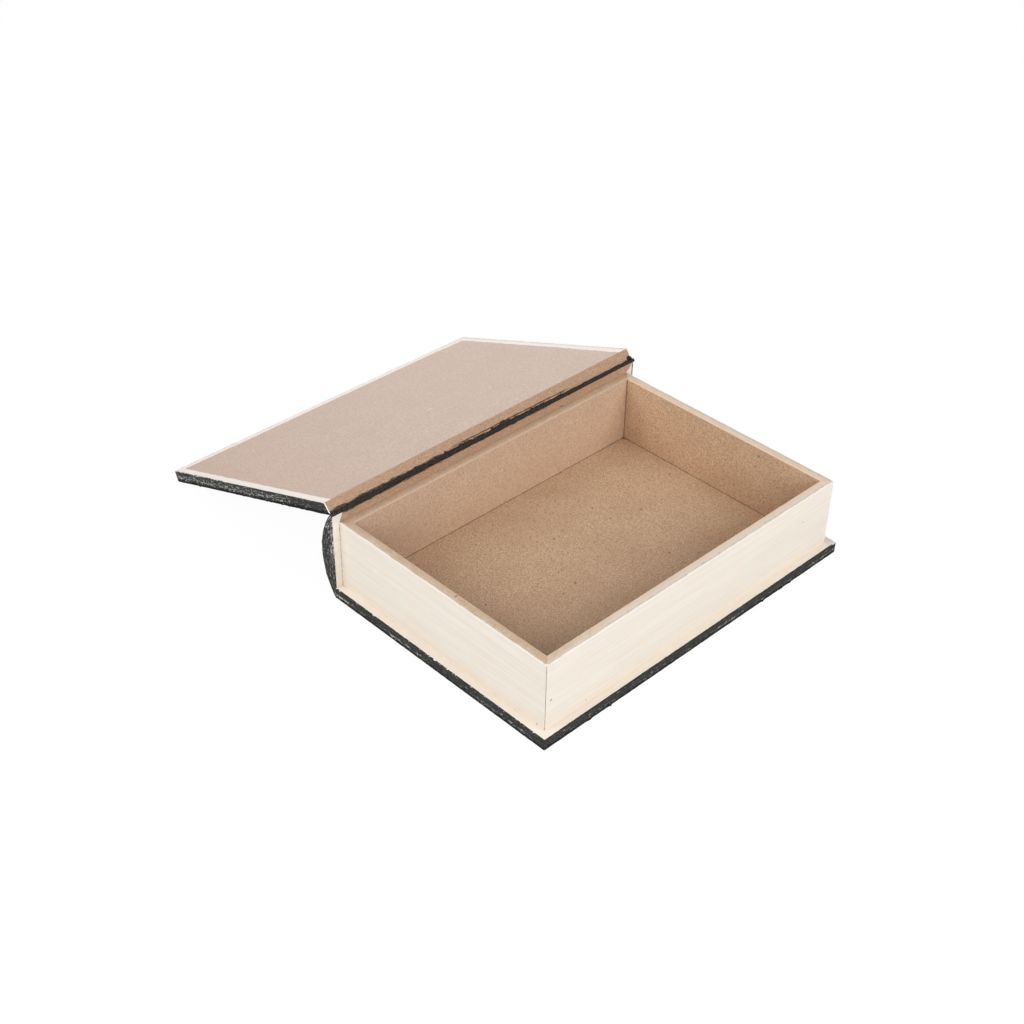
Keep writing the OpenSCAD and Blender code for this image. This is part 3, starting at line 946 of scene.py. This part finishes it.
class BOOKBOX_OT_spine_round(Operator):
    """Makes the rounded spine board, whose strip above the rim shows its sawn face"""
    bl_idname = "book_box.spine_round"
    bl_label = "Spine board"
    ROW = 5 * MM
    GLUE_REACH = 1.8 * MM

    def execute(self, context):
        bm = spine_form(SKIN, HALF_BOARD, sizes().spine_drop + SKIN, 24)
        cut_plane(bm, (0.0, 0.0, RIM_Z), (0.0, 0.0, 1.0))
        cut_rows(bm, edges_along(bm, 1), self.ROW)
        store(bm, "from_hinge", lambda co: HINGE.z - self.GLUE_REACH - co.z + glue_lean(co))
        store(bm, "past", self.past_walls)
        bm.normal_update()
        for face in bm.faces:
            face.material_index = 1 if abs(face.normal.y) > ALIGNED else 0
        materials = [material("planed_spine_edge", cut_fibreboard, True), cream()]
        finish_piece(bm, "spine_round", "box", ["spine_board"], materials)
        return {"FINISHED"}

    def past_walls(self, co):
        """Distance past the ends of the walls, along a brush stroke that leans inward above the rim."""
        lean = 0.85 if co.y > 0 else 0.5
        return abs(co.y - lean * max(0.0, co.z - RIM_Z)) - HALF_WALLS


def glue_lean(co):
    """A shift of the distance from the hinge, so that the glue's trails reach further at the tail end."""
    return 0.7 * MM * co.y / HALF_COVER


def spine_arc():
    """The middle and the radius of the round of the leatherette on the spine."""
    half = HINGE.z / 2 - SKIN
    edge = sizes().spine_edge
    rise = SPINE_X - SPINE_ROUND - SKIN - edge
    radius = (half * half + rise * rise) / (2 * rise)
    return Vector((SPINE_X - rise - edge + radius, 0.0, HINGE.z / 2)), radius + SKIN


def spine_form(inset, half_length, drop, steps):
    """The rounded spine as a closed solid.

    inset is how far it lies inside the leatherette, and drop how far its planed top is below the hinge line.
    """
    axle, radius = spine_arc()
    radius -= inset
    centre = axle - Vector((0.0, half_length, 0.0))
    swing = math.asin((axle.z - inset) / radius)
    bm = bmesh.new()
    start = bm.verts.new(centre + Vector((-radius * math.cos(swing), 0.0, -radius * math.sin(swing))))
    bmesh.ops.spin(
        bm, geom=[start], cent=centre, axis=(0.0, 1.0, 0.0), dvec=(0.0, 0.0, 0.0), angle=2 * swing,
        steps=steps, use_merge=False, use_duplicate=False
    )
    bmesh.ops.remove_doubles(bm, verts=bm.verts, dist=MERGE)
    ends = sorted((v for v in bm.verts if len(v.link_edges) == 1), key=lambda v: v.co.z)
    flats = [bm.verts.new((SPINE_X, -half_length, v.co.z)) for v in ends]
    for end, flat in zip(ends, flats):
        bm.edges.new((end, flat))
    bm.edges.new(flats)
    cap = bmesh.ops.edgeloop_fill(bm, edges=bm.edges[:])["faces"]
    grown = bmesh.ops.extrude_face_region(bm, geom=cap)["geom"]
    moved = [g for g in grown if isinstance(g, bmesh.types.BMVert)]
    bmesh.ops.translate(bm, verts=moved, vec=(0.0, 2 * half_length, 0.0))
    bmesh.ops.recalc_face_normals(bm, faces=bm.faces)
    up = Vector((-math.sin(FOLD), 0.0, math.cos(FOLD)))
    cut_plane(bm, HINGE - up * drop, up, clear_outer=True)
    opened = [e for e in bm.edges if e.is_boundary]
    bmesh.ops.edgeloop_fill(bm, edges=opened)
    bmesh.ops.recalc_face_normals(bm, faces=bm.faces)
    return bm


class BOOKBOX_OT_spine_leather(Operator):
    """Wraps the spine in leatherette, with turned-in, rubbed ends"""
    bl_idname = "book_box.spine_leather"
    bl_label = "Spine leatherette"
    ROW = 1.5 * MM
    END_ARRIS = 0.5 * MM
    BUMPS_MM = (14.5, 37.4)  # the heights of two bumps on the tail end
    BUMP = 0.45 * MM
    FOOT_MM = 2.6  # the height below which the wrap is drawn in under the round

    def execute(self, context):
        size = sizes()
        bm = spine_form(0.0, HALF_COVER, size.spine_drop, 40)
        bm.normal_update()
        inner = [f for f in bm.faces if f.normal.x > ALIGNED]
        bmesh.ops.delete(bm, geom=inner, context="FACES")
        ends = [
            e for e in bm.edges
            if all(abs(v.co.y) > HALF_COVER - TOUCH for v in e.verts) and not e.is_boundary
        ]
        round_edges(bm, ends, self.END_ARRIS)
        # Points about a millimetre apart over both ends, up the spine and across it
        cut_across(bm, 2, [(step + 0.7) * MM for step in range(61)], self.on_end)
        cut_across(bm, 0, [SPINE_ROUND + (step + 0.7) * MM for step in range(11)], self.on_end)
        cut_rows(bm, edges_along(bm, 1), self.ROW)
        bm.normal_update()
        store_course(bm, lambda co: (co.z, self.from_arris(co), co.y))
        # Distance from the ends' arrises, for the painted shade where the leatherette turns in
        store(bm, "fold", lambda co: 1.3 * self.from_arris(co))
        store(bm, "worn", self.worn)
        for vert in bm.verts:
            co = vert.co.copy()
            inward = SPINE_X - co.x
            if co.y < 2 * MM - HALF_COVER:
                bump = max(fade(co.z - z * MM, 1.8) for z in self.BUMPS_MM)
                vert.co.x -= self.BUMP * bump * min(1.0, inward / (4 * MM))
            if co.z < self.FOOT_MM * MM:
                vert.co.x = SPINE_X - inward * (1 - 0.65 * fade(co.z, self.FOOT_MM) ** 2)
            if inward > 0.5 * MM and co.z > 0.3 * MM:
                vert.co += vert.normal * size.cover_rough * (wave(co, 2.4, 9.0) - 0.4)
            if abs(co.y) > HALF_COVER - MM and co.z > 6 * MM:
                # The inner edge is torn back on the tail end, and overlaps the wall a little on the head end
                torn = 0.6 * MM + 0.9 * MM * wave((0.0, co.y, co.z), 2.0, 3.0)
                shift = 0.25 * MM if co.y > 0 else -ramp(co.z, 20, 18, low=0.25) * torn
                vert.co.x += fade(inward, 6) * shift
        finish_piece(
            bm, "spine_leather", "box", ["spine_cover"], [leather()], sharp_deg=50.0,
            thickness=SKIN - 0.03 * MM
        )
        return {"FINISHED"}

    def on_end(self, face):
        return abs(face.normal.y) > ALIGNED

    def from_arris(self, co):
        """Distance from the arris round each end, over the end or over the round back."""
        axle, radius = spine_arc()
        return max(0.0, radius - (Vector((co.x, 0.0, co.z)) - axle).length) + HALF_COVER - abs(co.y)

    def worn(self, co):
        """Most rubbed along the inner edge of the ends, in their upper half."""
        if abs(co.y) < HALF_COVER - MM:
            return 0.02
        return 0.2 + 0.26 * ramp(co.z, 12, 22) * fade(SPINE_X - co.x, 7)


def cover_tray(length, half_width, height, slant, corner, rag, fold_share, seed):
    """The leatherette round a board, standing on its outer face: a sheet with three turned-up sides.

    The open side is at x 0, and further in by slant at the rim. corner is the two corners' radius, and rag
    is how far the rim is torn back at a point. The larger fold_share is, the lower the fold's dark band ends.
    """
    size = sizes()
    bm = start_cube((0.0, -half_width, 0.0), (length, half_width, height))
    gone = [f for f in bm.faces if f.normal.z > ALIGNED or f.normal.x < -ALIGNED]
    bmesh.ops.delete(bm, geom=gone, context="FACES")
    for vert in bm.verts:
        if vert.co.x < TOUCH and vert.co.z > height - TOUCH:
            vert.co.x += slant
    for side in (-1, 1):
        round_edges(bm, edges_along(bm, 2, lambda p: p.x > length - MM and side * p.y > 0), corner, 4)
    folds = [e for e in bm.edges if not e.is_boundary and all(v.co.z < TOUCH for v in e.verts)]
    round_edges(bm, folds, size.fold_radius, 3)
    # Only a band along the three sides gets rows of points: the middle stays one face
    band = 6 * MM

    def in_middle(co, slack=0.0):
        return co.z < TOUCH and abs(co.y) < half_width - band + slack and co.x < length - band + slack

    cut_across(bm, 0, (length - band,))
    cut_across(bm, 1, (half_width - band, band - half_width))
    middle = [f for f in bm.faces if in_middle(f.calc_center_median())]
    bmesh.ops.delete(bm, geom=middle, context="FACES_ONLY")
    upright = [e for e in bm.edges if abs(e.verts[0].co.z - e.verts[1].co.z) > 3 * MM]
    bmesh.ops.subdivide_edges(bm, edges=upright, cuts=7, use_grid_fill=True)
    for axis in (0, 1):
        cut_rows(bm, [e for e in edges_along(bm, axis) if not e.is_wire], size.cover_step)
    hole = [
        e for e in bm.edges
        if (e.is_boundary or e.is_wire) and all(in_middle(v.co, TOUCH) for v in e.verts)
    ]
    bmesh.ops.edgeloop_fill(bm, edges=hole)
    bmesh.ops.recalc_face_normals(bm, faces=bm.faces)
    bm.normal_update()
    if sum(f.normal.z * f.calc_area() for f in bm.faces) > 0:
        bmesh.ops.reverse_faces(bm, faces=bm.faces)
        bm.normal_update()
    for vert in bm.verts:
        co = vert.co.copy()
        flat = (co.x, co.y, 0.0)
        rise = max(0.0, co.z - size.fold_radius) / (height - size.fold_radius)
        notch = max(0.0, wave(flat, 2.3, seed) - 0.05) + 0.35 * max(0.0, wave(flat, 1.1, seed + 3))
        vert.co.z -= rise * min(1.5, 0.3 + 1.2 * notch) * rag(co)
        if co.z > 0.2 * MM and max(abs(co.y) - half_width, co.x - length) > -MM:
            vert.co += vert.normal * size.cover_rough * (wave(co, 2.6, seed) - 0.5)
    store_course(bm, lambda co: (co.x, co.z, co.y))

    # Distance from the fold, for the painted shade where the sheet turns under
    def from_fold(co):
        inward = min(half_width - abs(co.y), length - co.x)
        return fold_share * co.z + max(0.0, inward - MM)

    store(bm, "fold", from_fold)
    return bm


class BOOKBOX_OT_base_leather(Operator):
    """Wraps the base board in leatherette, torn and rubbed along its turned-up edges"""
    bl_idname = "book_box.base_leather"
    bl_label = "Base leatherette"
    TATTERS_MM = (-93.8, -77.5, 56.6, 74.3, 83.1)  # places of the loose bits along the fore side
    TATTER_OUT = 1.1 * MM
    TATTER_UP = 0.5 * MM

    def execute(self, context):
        bm = cover_tray(
            TRAY_HI.x - TRAY_LO.x, HALF_COVER, TRAY_HI.z, slant=0.0, corner=1.0 * MM,
            rag=lambda co: sizes().base_rag, fold_share=0.45, seed=11.0
        )
        bmesh.ops.translate(bm, verts=bm.verts, vec=(TRAY_LO.x, 0.0, 0.0))
        for vert in bm.verts:
            co = vert.co.copy()
            if co.x > FORE_X - MM and co.z < 2 * MM:
                near = self.by_tatter(co, 2.4)
                vert.co.x += near * self.TATTER_OUT * (0.35 + wave(co, 0.9, 12.0))
                vert.co.z += near * self.TATTER_UP * (0.5 + wave(co, 1.1, 14.0)) * (1 - co.z / (2 * MM))
        store(bm, "worn", self.worn)
        store(bm, "bare", self.bare)
        finish_piece(
            bm, "base_leather", "box", ["base_cover"], torn_leather(), sharp_deg=50.0,
            thickness=SHEET, rim_offset=1
        )
        return {"FINISHED"}

    def by_tatter(self, co, reach_mm):
        """1 at a loose bit of the fore side, and 0 from this reach along the side."""
        return max(fade(co.y - y * MM, reach_mm) for y in self.TATTERS_MM)

    def bare(self, co):
        """The cut edge stayed bare but on the head side, most of it on the fore side."""
        most = 0.52 if co.x > FORE_X - 1.2 * MM else 0.4
        return most * ramp(HALF_COVER - co.y, 1.2, 1)

    def worn(self, co):
        """Rubbed along a line just above the fold, most on the tail side, and just above the loose bits."""
        if co.z <= 0.5 * MM:
            return 0.0
        tail = 1.0 if co.y < -HALF_COVER + 2 * MM else 0.6
        patch = min(1.0, max(0.0, 0.45 + 1.4 * wave((co.x, co.y, 0.0), 22.0, 6.0)))
        line = tail * patch * fade(co.z - 3.3 * MM, 1.7)
        torn = self.by_tatter(co, 3) * fade(co.z - 2.6 * MM, 1) if co.x > FORE_X - MM else 0.0
        return 0.06 + max(0.62 * line, 0.5 * torn)


def head_flare(u, depth):
    """How far the lid's head side stands out at a distance u from the hinge: most there, at its inner face.

    depth is 0 at the outer face and 1 at the inner face.
    """
    return sizes().head_flare * depth * max(0.0, 1.0 - u / LID_REACH)


def lid_start():
    """Where the lid's board and its leatherette start, from the hinge line: just clear of the roll."""
    return ROLL_R + sizes().roll_gap


class BOOKBOX_OT_lid_leather(Operator):
    """Wraps the lid board in leatherette, torn in small bites along its turned-up edges"""
    bl_idname = "book_box.lid_leather"
    bl_label = "Lid leatherette"
    FAR_MM = 95  # the tears of the tail side's far third begin here, from the hinge
    FAR_RUN_MM = 25  # and are full after this
    LUMP = 0.7 * MM

    def execute(self, context):
        start = lid_start()
        slant = sizes().bevel_width - start - 0.3 * MM
        depth = LID_OUT - LID_IN + 0.03 * MM
        bm = cover_tray(
            LID_REACH - start, HALF_COVER, depth, slant, corner=0.8 * MM, rag=self.rag, fold_share=0.42,
            seed=23.0
        )
        for vert in bm.verts:
            if vert.co.y < MM - HALF_COVER:
                # The inner rim sinks as it flares, so that it stays hidden behind the board's face
                flare = head_flare(vert.co.x, vert.co.z / depth)
                vert.co.y -= flare
                vert.co.z -= flare * SKIN / depth
            if vert.co.y > HALF_COVER - MM and vert.co.z < 1.5 * MM:
                vert.co.z -= self.LUMP * max(0.0, wave((vert.co.x, 0.0, 0.0), 3.0, 31.0) - 0.1)
        store(bm, "worn", self.worn)
        store(bm, "bare", self.bare)
        bmesh.ops.rotate(bm, verts=bm.verts, cent=(0.0, 0.0, 0.0), matrix=Matrix.Rotation(math.pi, 3, "X"))
        bmesh.ops.translate(bm, verts=bm.verts, vec=(start, 0.0, LID_OUT))
        bm.transform(LID_PLACE)
        finish_piece(
            bm, "lid_leather", "lid", ["lid_cover"], torn_leather(), sharp_deg=50.0,
            thickness=SHEET, rim_offset=1
        )
        return {"FINISHED"}

    def rag(self, co):
        """Torn back a little on the tail side, most in its far third, and cut clean on the other sides."""
        if co.y < HALF_COVER - MM:
            return 0.0
        return sizes().lid_rag * ramp(co.x, self.FAR_MM, self.FAR_RUN_MM, low=0.3)

    def bare(self, co):
        """The cut edge stayed bare along the hinge, and in small bites in the far third of the tail side."""
        if co.z < 0.5 * MM:
            return 1.0
        return 0.34 * ramp(co.x, self.FAR_MM, self.FAR_RUN_MM) if co.y > HALF_COVER - 1.5 * MM else 0.0

    def worn(self, co):
        """Streaky scuffs, most over the middle of the sides' height, fading towards the hinge."""
        if co.z < 0.5 * MM:
            return 0.0
        return 0.13 + 0.345 * fade(co.z - 3.4 * MM, 4.4) * ramp(co.x, 15, 50)


class BOOKBOX_OT_lid_panel(Operator):
    """Makes the lid board with its bevelled hinge edge and its painted border"""
    bl_idname = "book_box.lid_panel"
    bl_label = "Lid board"
    INSET = 12 * MM  # how far in from the sides the distance from them is kept
    THREAD_MM = (-18, 58)  # between these the loose thread on the bevel is whole
    THREAD_END_MM = 42  # and this far past them it has thinned out

    def execute(self, context):
        size = sizes()
        start = lid_start()
        far = LID_REACH - SKIN
        bm = start_cube((start, -HALF_BOARD, LID_IN), (far, HALF_BOARD, -LID_OUT))
        for vert in bm.verts:
            if vert.co.x < start + TOUCH and vert.co.z < LID_IN + TOUCH:
                vert.co.x = size.bevel_width
            if vert.co.y > 0 and vert.co.z < LID_IN + TOUCH:
                vert.co.y += head_flare(vert.co.x, 1.0)
        cut_across(bm, 0, (far - self.INSET,))
        cut_across(bm, 1, (HALF_BOARD - self.INSET, self.INSET - HALF_BOARD))
        for side in (1.0, -1.0):
            cut_plane(bm, (far, side * HALF_BOARD, 0.0), Vector((1.0, -side, 0.0)).normalized())
        low, high = self.THREAD_MM
        rows = (low - self.THREAD_END_MM, low, high, high + self.THREAD_END_MM)
        cut_across(bm, 1, [y * MM for y in rows])
        bmesh.ops.triangulate(bm, faces=[f for f in bm.faces if len(f.verts) > 4])
        store(bm, "edge", self.from_sides)
        store(bm, "arris", lambda co: co.x - size.bevel_width)
        trail = 0.85 * size.strip_width
        store(bm, "from_hinge", lambda co: -LID_OUT - co.z - trail + glue_lean(co))
        store(bm, "apart", lambda co: 0.02 * max(0.0, low * MM - co.y, co.y - high * MM))
        bm.normal_update()
        bevel = Vector((LID_IN + LID_OUT, 0.0, start - size.bevel_width)).normalized()
        for face in bm.faces:
            if face.normal.dot(bevel) > 0.95:
                face.material_index = 1
            elif face.normal.z < -0.3:
                face.material_index = 0
            else:
                face.material_index = 2
        bm.transform(LID_PLACE)
        face = material("bordered_fibreboard", lid_face)
        planed = material("planed_lid_bevel", cut_fibreboard, False)
        finish_piece(bm, "lid_panel", "lid", ["lid_board"], [face, planed, cream()])
        return {"FINISHED"}

    def from_sides(self, co):
        """Distance from the nearest of the three painted sides.

        From the head side it is shrunk, because the border there is wider, most of all at the hinge.
        """
        from_head = (HALF_BOARD + head_flare(co.x, 1.0) - co.y) / (1.5 - 0.3 * co.x / LID_REACH)
        return max(0.0, min(self.INSET, LID_REACH - SKIN - co.x, HALF_BOARD + co.y, from_head))


class BOOKBOX_OT_hinge(Operator):
    """Makes the cloth roll that the lid turns on and the ragged strip glued to the lid's bevel"""
    bl_idname = "book_box.hinge"
    bl_label = "Hinge cloth"
    ROLL_STEP = 0.8 * MM
    STRIP_STEP = 0.45 * MM
    ROWS = 5
    BUNCH_START = 0.15 * MM  # how far past the lid's head side the bunched end starts
    FREE_SIDE = Vector((0.26, 0.0, -0.97))  # the side of the roll that nothing comes near in any pose
    SLACK = 1.1 * MM
    LOBE = 0.89  # the slack hangs within this cosine of the free side
    KNOT_IN = 2.0 * MM  # the middle of the lid's knot, in from its head side
    KNOT_HALF = 2.3 * MM
    KNOT_LIFT = 1.0 * MM

    def execute(self, context):
        self.roll()
        self.strip()
        return {"FINISHED"}

    def roll(self):
        """The roll lies along the hinge line, bunched up at its head end."""
        reach = sizes().knot_reach
        bm = bmesh.new()
        bmesh.ops.create_circle(bm, cap_ends=True, segments=16, radius=ROLL_R)
        turn = Matrix.Rotation(math.pi / 2, 3, "X")
        bmesh.ops.rotate(bm, verts=bm.verts, cent=(0.0, 0.0, 0.0), matrix=turn)
        bmesh.ops.translate(bm, verts=bm.verts, vec=(HINGE.x, -HALF_COVER, HINGE.z))
        grown = bmesh.ops.extrude_face_region(bm, geom=bm.faces[:])["geom"]
        moved = [g for g in grown if isinstance(g, bmesh.types.BMVert)]
        bmesh.ops.translate(bm, verts=moved, vec=(0.0, 2 * HALF_COVER + reach, 0.0))
        bmesh.ops.recalc_face_normals(bm, faces=bm.faces)
        cut_rows(bm, edges_along(bm, 1), self.ROLL_STEP)
        bunch = reach - self.BUNCH_START
        cut_across(bm, 1, [HALF_COVER + self.BUNCH_START + bunch * step / 6 for step in range(6)])
        bm.normal_update()
        for vert in bm.verts:
            out = Vector((vert.co.x - HINGE.x, 0.0, vert.co.z - HINGE.z))
            if out.length > TOUCH:
                out.normalize()
                vert.co += out * self.roll_swell(vert.co.copy(), out, bunch)
        finish_piece(
            bm, "hinge_cloth_roll", "box", ["hinge_roll"], glued_cloth(), sharp_deg=60.0
        )

    def roll_swell(self, co, out, bunch):
        """How far the roll stands out here: a little all over, slack below, and bunched at its head end."""
        rough = ramp(-co.y, -50, 60, low=0.3)
        swell = rough * (0.08 * MM * wave(co, 1.4, 1.0) + 0.05 * MM * max(0.0, wave(co, 3.5, 4.0)))
        hang = rough * max(0.0, wave((0.0, co.y, 0.0), 2.2, 7.0)) + 0.3 * ramp(co.y - HALF_COVER, -3.5, 3)
        swell += self.SLACK * hang * max(0.0, out.dot(self.FREE_SIDE) - self.LOBE) / (1 - self.LOBE)
        past = (co.y - HALF_COVER - self.BUNCH_START) / bunch
        if past > 0:
            bulge = math.sqrt(max(0.0, 1.0 - (2 * past - 1) ** 2))
            swell += (sizes().knot_radius * (1.0 - 0.2 * out.z) - ROLL_R) * bulge
            swell += 0.12 * MM * wave(co, 0.9, 2.0)
            # The last quarter closes to a small end
            swell -= 0.7 * ROLL_R * max(0.0, past - 0.75) / 0.25
        return swell

    def strip(self):
        """The strip runs up the bevel and ends in a torn edge."""
        size = sizes()
        start = lid_start()
        run = Vector((size.bevel_width - start, 0.0, LID_IN + LID_OUT)).normalized()
        out = Vector((run.z, 0.0, -run.x))
        first = Vector((start, -HALF_COVER, -LID_OUT)) + out * 0.02 * MM
        bm = bmesh.new()
        vert = bm.verts.new(first)
        bmesh.ops.spin(
            bm, geom=[vert], cent=first, axis=(0.0, 1.0, 0.0), dvec=run * size.strip_width / self.ROWS,
            angle=0.0, steps=self.ROWS, use_merge=False, use_duplicate=False
        )
        line = bm.verts[:] + bm.edges[:]
        steps = round(2 * HALF_COVER / self.STRIP_STEP)
        bmesh.ops.spin(
            bm, geom=line, cent=first, axis=(0.0, 1.0, 0.0), dvec=(0.0, 2 * HALF_COVER / steps, 0.0),
            angle=0.0, steps=steps, use_merge=False, use_duplicate=False
        )
        bmesh.ops.remove_doubles(bm, verts=bm.verts, dist=MERGE)
        bmesh.ops.recalc_face_normals(bm, faces=bm.faces)
        bm.normal_update()
        if sum(f.normal.dot(out) for f in bm.faces) < 0:
            bmesh.ops.reverse_faces(bm, faces=bm.faces)
        for vert in bm.verts:
            co = vert.co.copy()
            share = (co - first).dot(run) / size.strip_width
            off = (co.y - HALF_COVER + self.KNOT_IN) / self.KNOT_HALF
            knot = math.sqrt(max(0.0, 1.0 - off * off))
            vert.co += run * (share * (self.torn_reach(co) + 1.8 * knot - 1.0) * size.strip_width)
            rise = min(1.0, 0.35 + 3.0 * share) * (0.9 + 0.5 * wave(co, 1.5, 6.0))
            lift = self.KNOT_LIFT * knot * math.sin(math.pi * min(1.0, share))
            vert.co += out * (size.strip_thickness * rise + lift)
        bm.transform(LID_PLACE)
        finish_piece(
            bm, "hinge_cloth_strip", "lid", ["hinge_strip"], glued_cloth(), sharp_deg=60.0,
            thickness=size.strip_thickness
        )

    def torn_reach(self, co):
        """How far up the bevel the torn edge reaches here, as a share of the strip's width."""
        line = (0.0, co.y, 0.0)
        rough = min(ramp(-co.y, -75, 50, low=0.12), ramp(co.y + HALF_COVER, 0, 12, low=0.25))
        teeth = max(0.0, wave(line, 2.0, 8.0)) * (0.5 + max(0.0, wave(line, 9.0, 2.0)))
        waves = 0.5 * wave(line, 24.0, 3.0) + 0.8 * wave(line, 4.0, 5.0) + 0.5 * wave(line, 1.2, 1.0)
        return max(0.15, 0.35 + rough * (0.45 + waves + 2.2 * teeth))


class BOOKBOX_OT_brads(Operator):
    """Gives the steel brads, which the boards hide, their finish"""
    bl_idname = "book_box.brads"
    bl_label = "Brads"

    def execute(self, context):
        steel = material("drawn_steel", brad_steel)
        for name in ("corner_brads", "base_brads", "spine_brads"):
            node = frame["nodes"][name]
            node.data.materials.clear()
            node.data.materials.append(steel)
        return {"FINISHED"}


OPERATORS = (
    BOOKBOX_OT_stage, BOOKBOX_OT_base_panel, BOOKBOX_OT_walls, BOOKBOX_OT_spine_round,
    BOOKBOX_OT_spine_leather, BOOKBOX_OT_base_leather, BOOKBOX_OT_lid_leather, BOOKBOX_OT_lid_panel,
    BOOKBOX_OT_hinge, BOOKBOX_OT_brads,
)


class BOOKBOX_PT_panel(Panel):
    """Lists the book box's sizes, colours and operators"""
    bl_idname = "BOOKBOX_PT_panel"
    bl_label = "Book box"
    bl_space_type = "VIEW_3D"
    bl_region_type = "UI"
    bl_category = "Book box"

    def draw(self, context):
        for operator in OPERATORS:
            self.layout.operator(operator.bl_idname)
        for group in (sizes(), colours(), context.scene.book_box_stage):
            box = self.layout.box()
            for name in group.__annotations__:
                box.prop(group, name)


CLASSES = (BookBoxSizes, BookBoxColours, BookBoxStage, *OPERATORS, BOOKBOX_PT_panel)


def register():
    for cls in CLASSES:
        bpy.utils.register_class(cls)
    bpy.types.Scene.book_box_sizes = PointerProperty(type=BookBoxSizes)
    bpy.types.Scene.book_box_colours = PointerProperty(type=BookBoxColours)
    bpy.types.Scene.book_box_stage = PointerProperty(type=BookBoxStage)


def unregister():
    del bpy.types.Scene.book_box_stage
    del bpy.types.Scene.book_box_colours
    del bpy.types.Scene.book_box_sizes
    for cls in reversed(CLASSES):
        bpy.utils.unregister_class(cls)


def main():
    register()
    for operator in OPERATORS:
        group, name = operator.bl_idname.split(".")
        getattr(getattr(bpy.ops, group), name)()


if __name__ == "__main__":
    main()
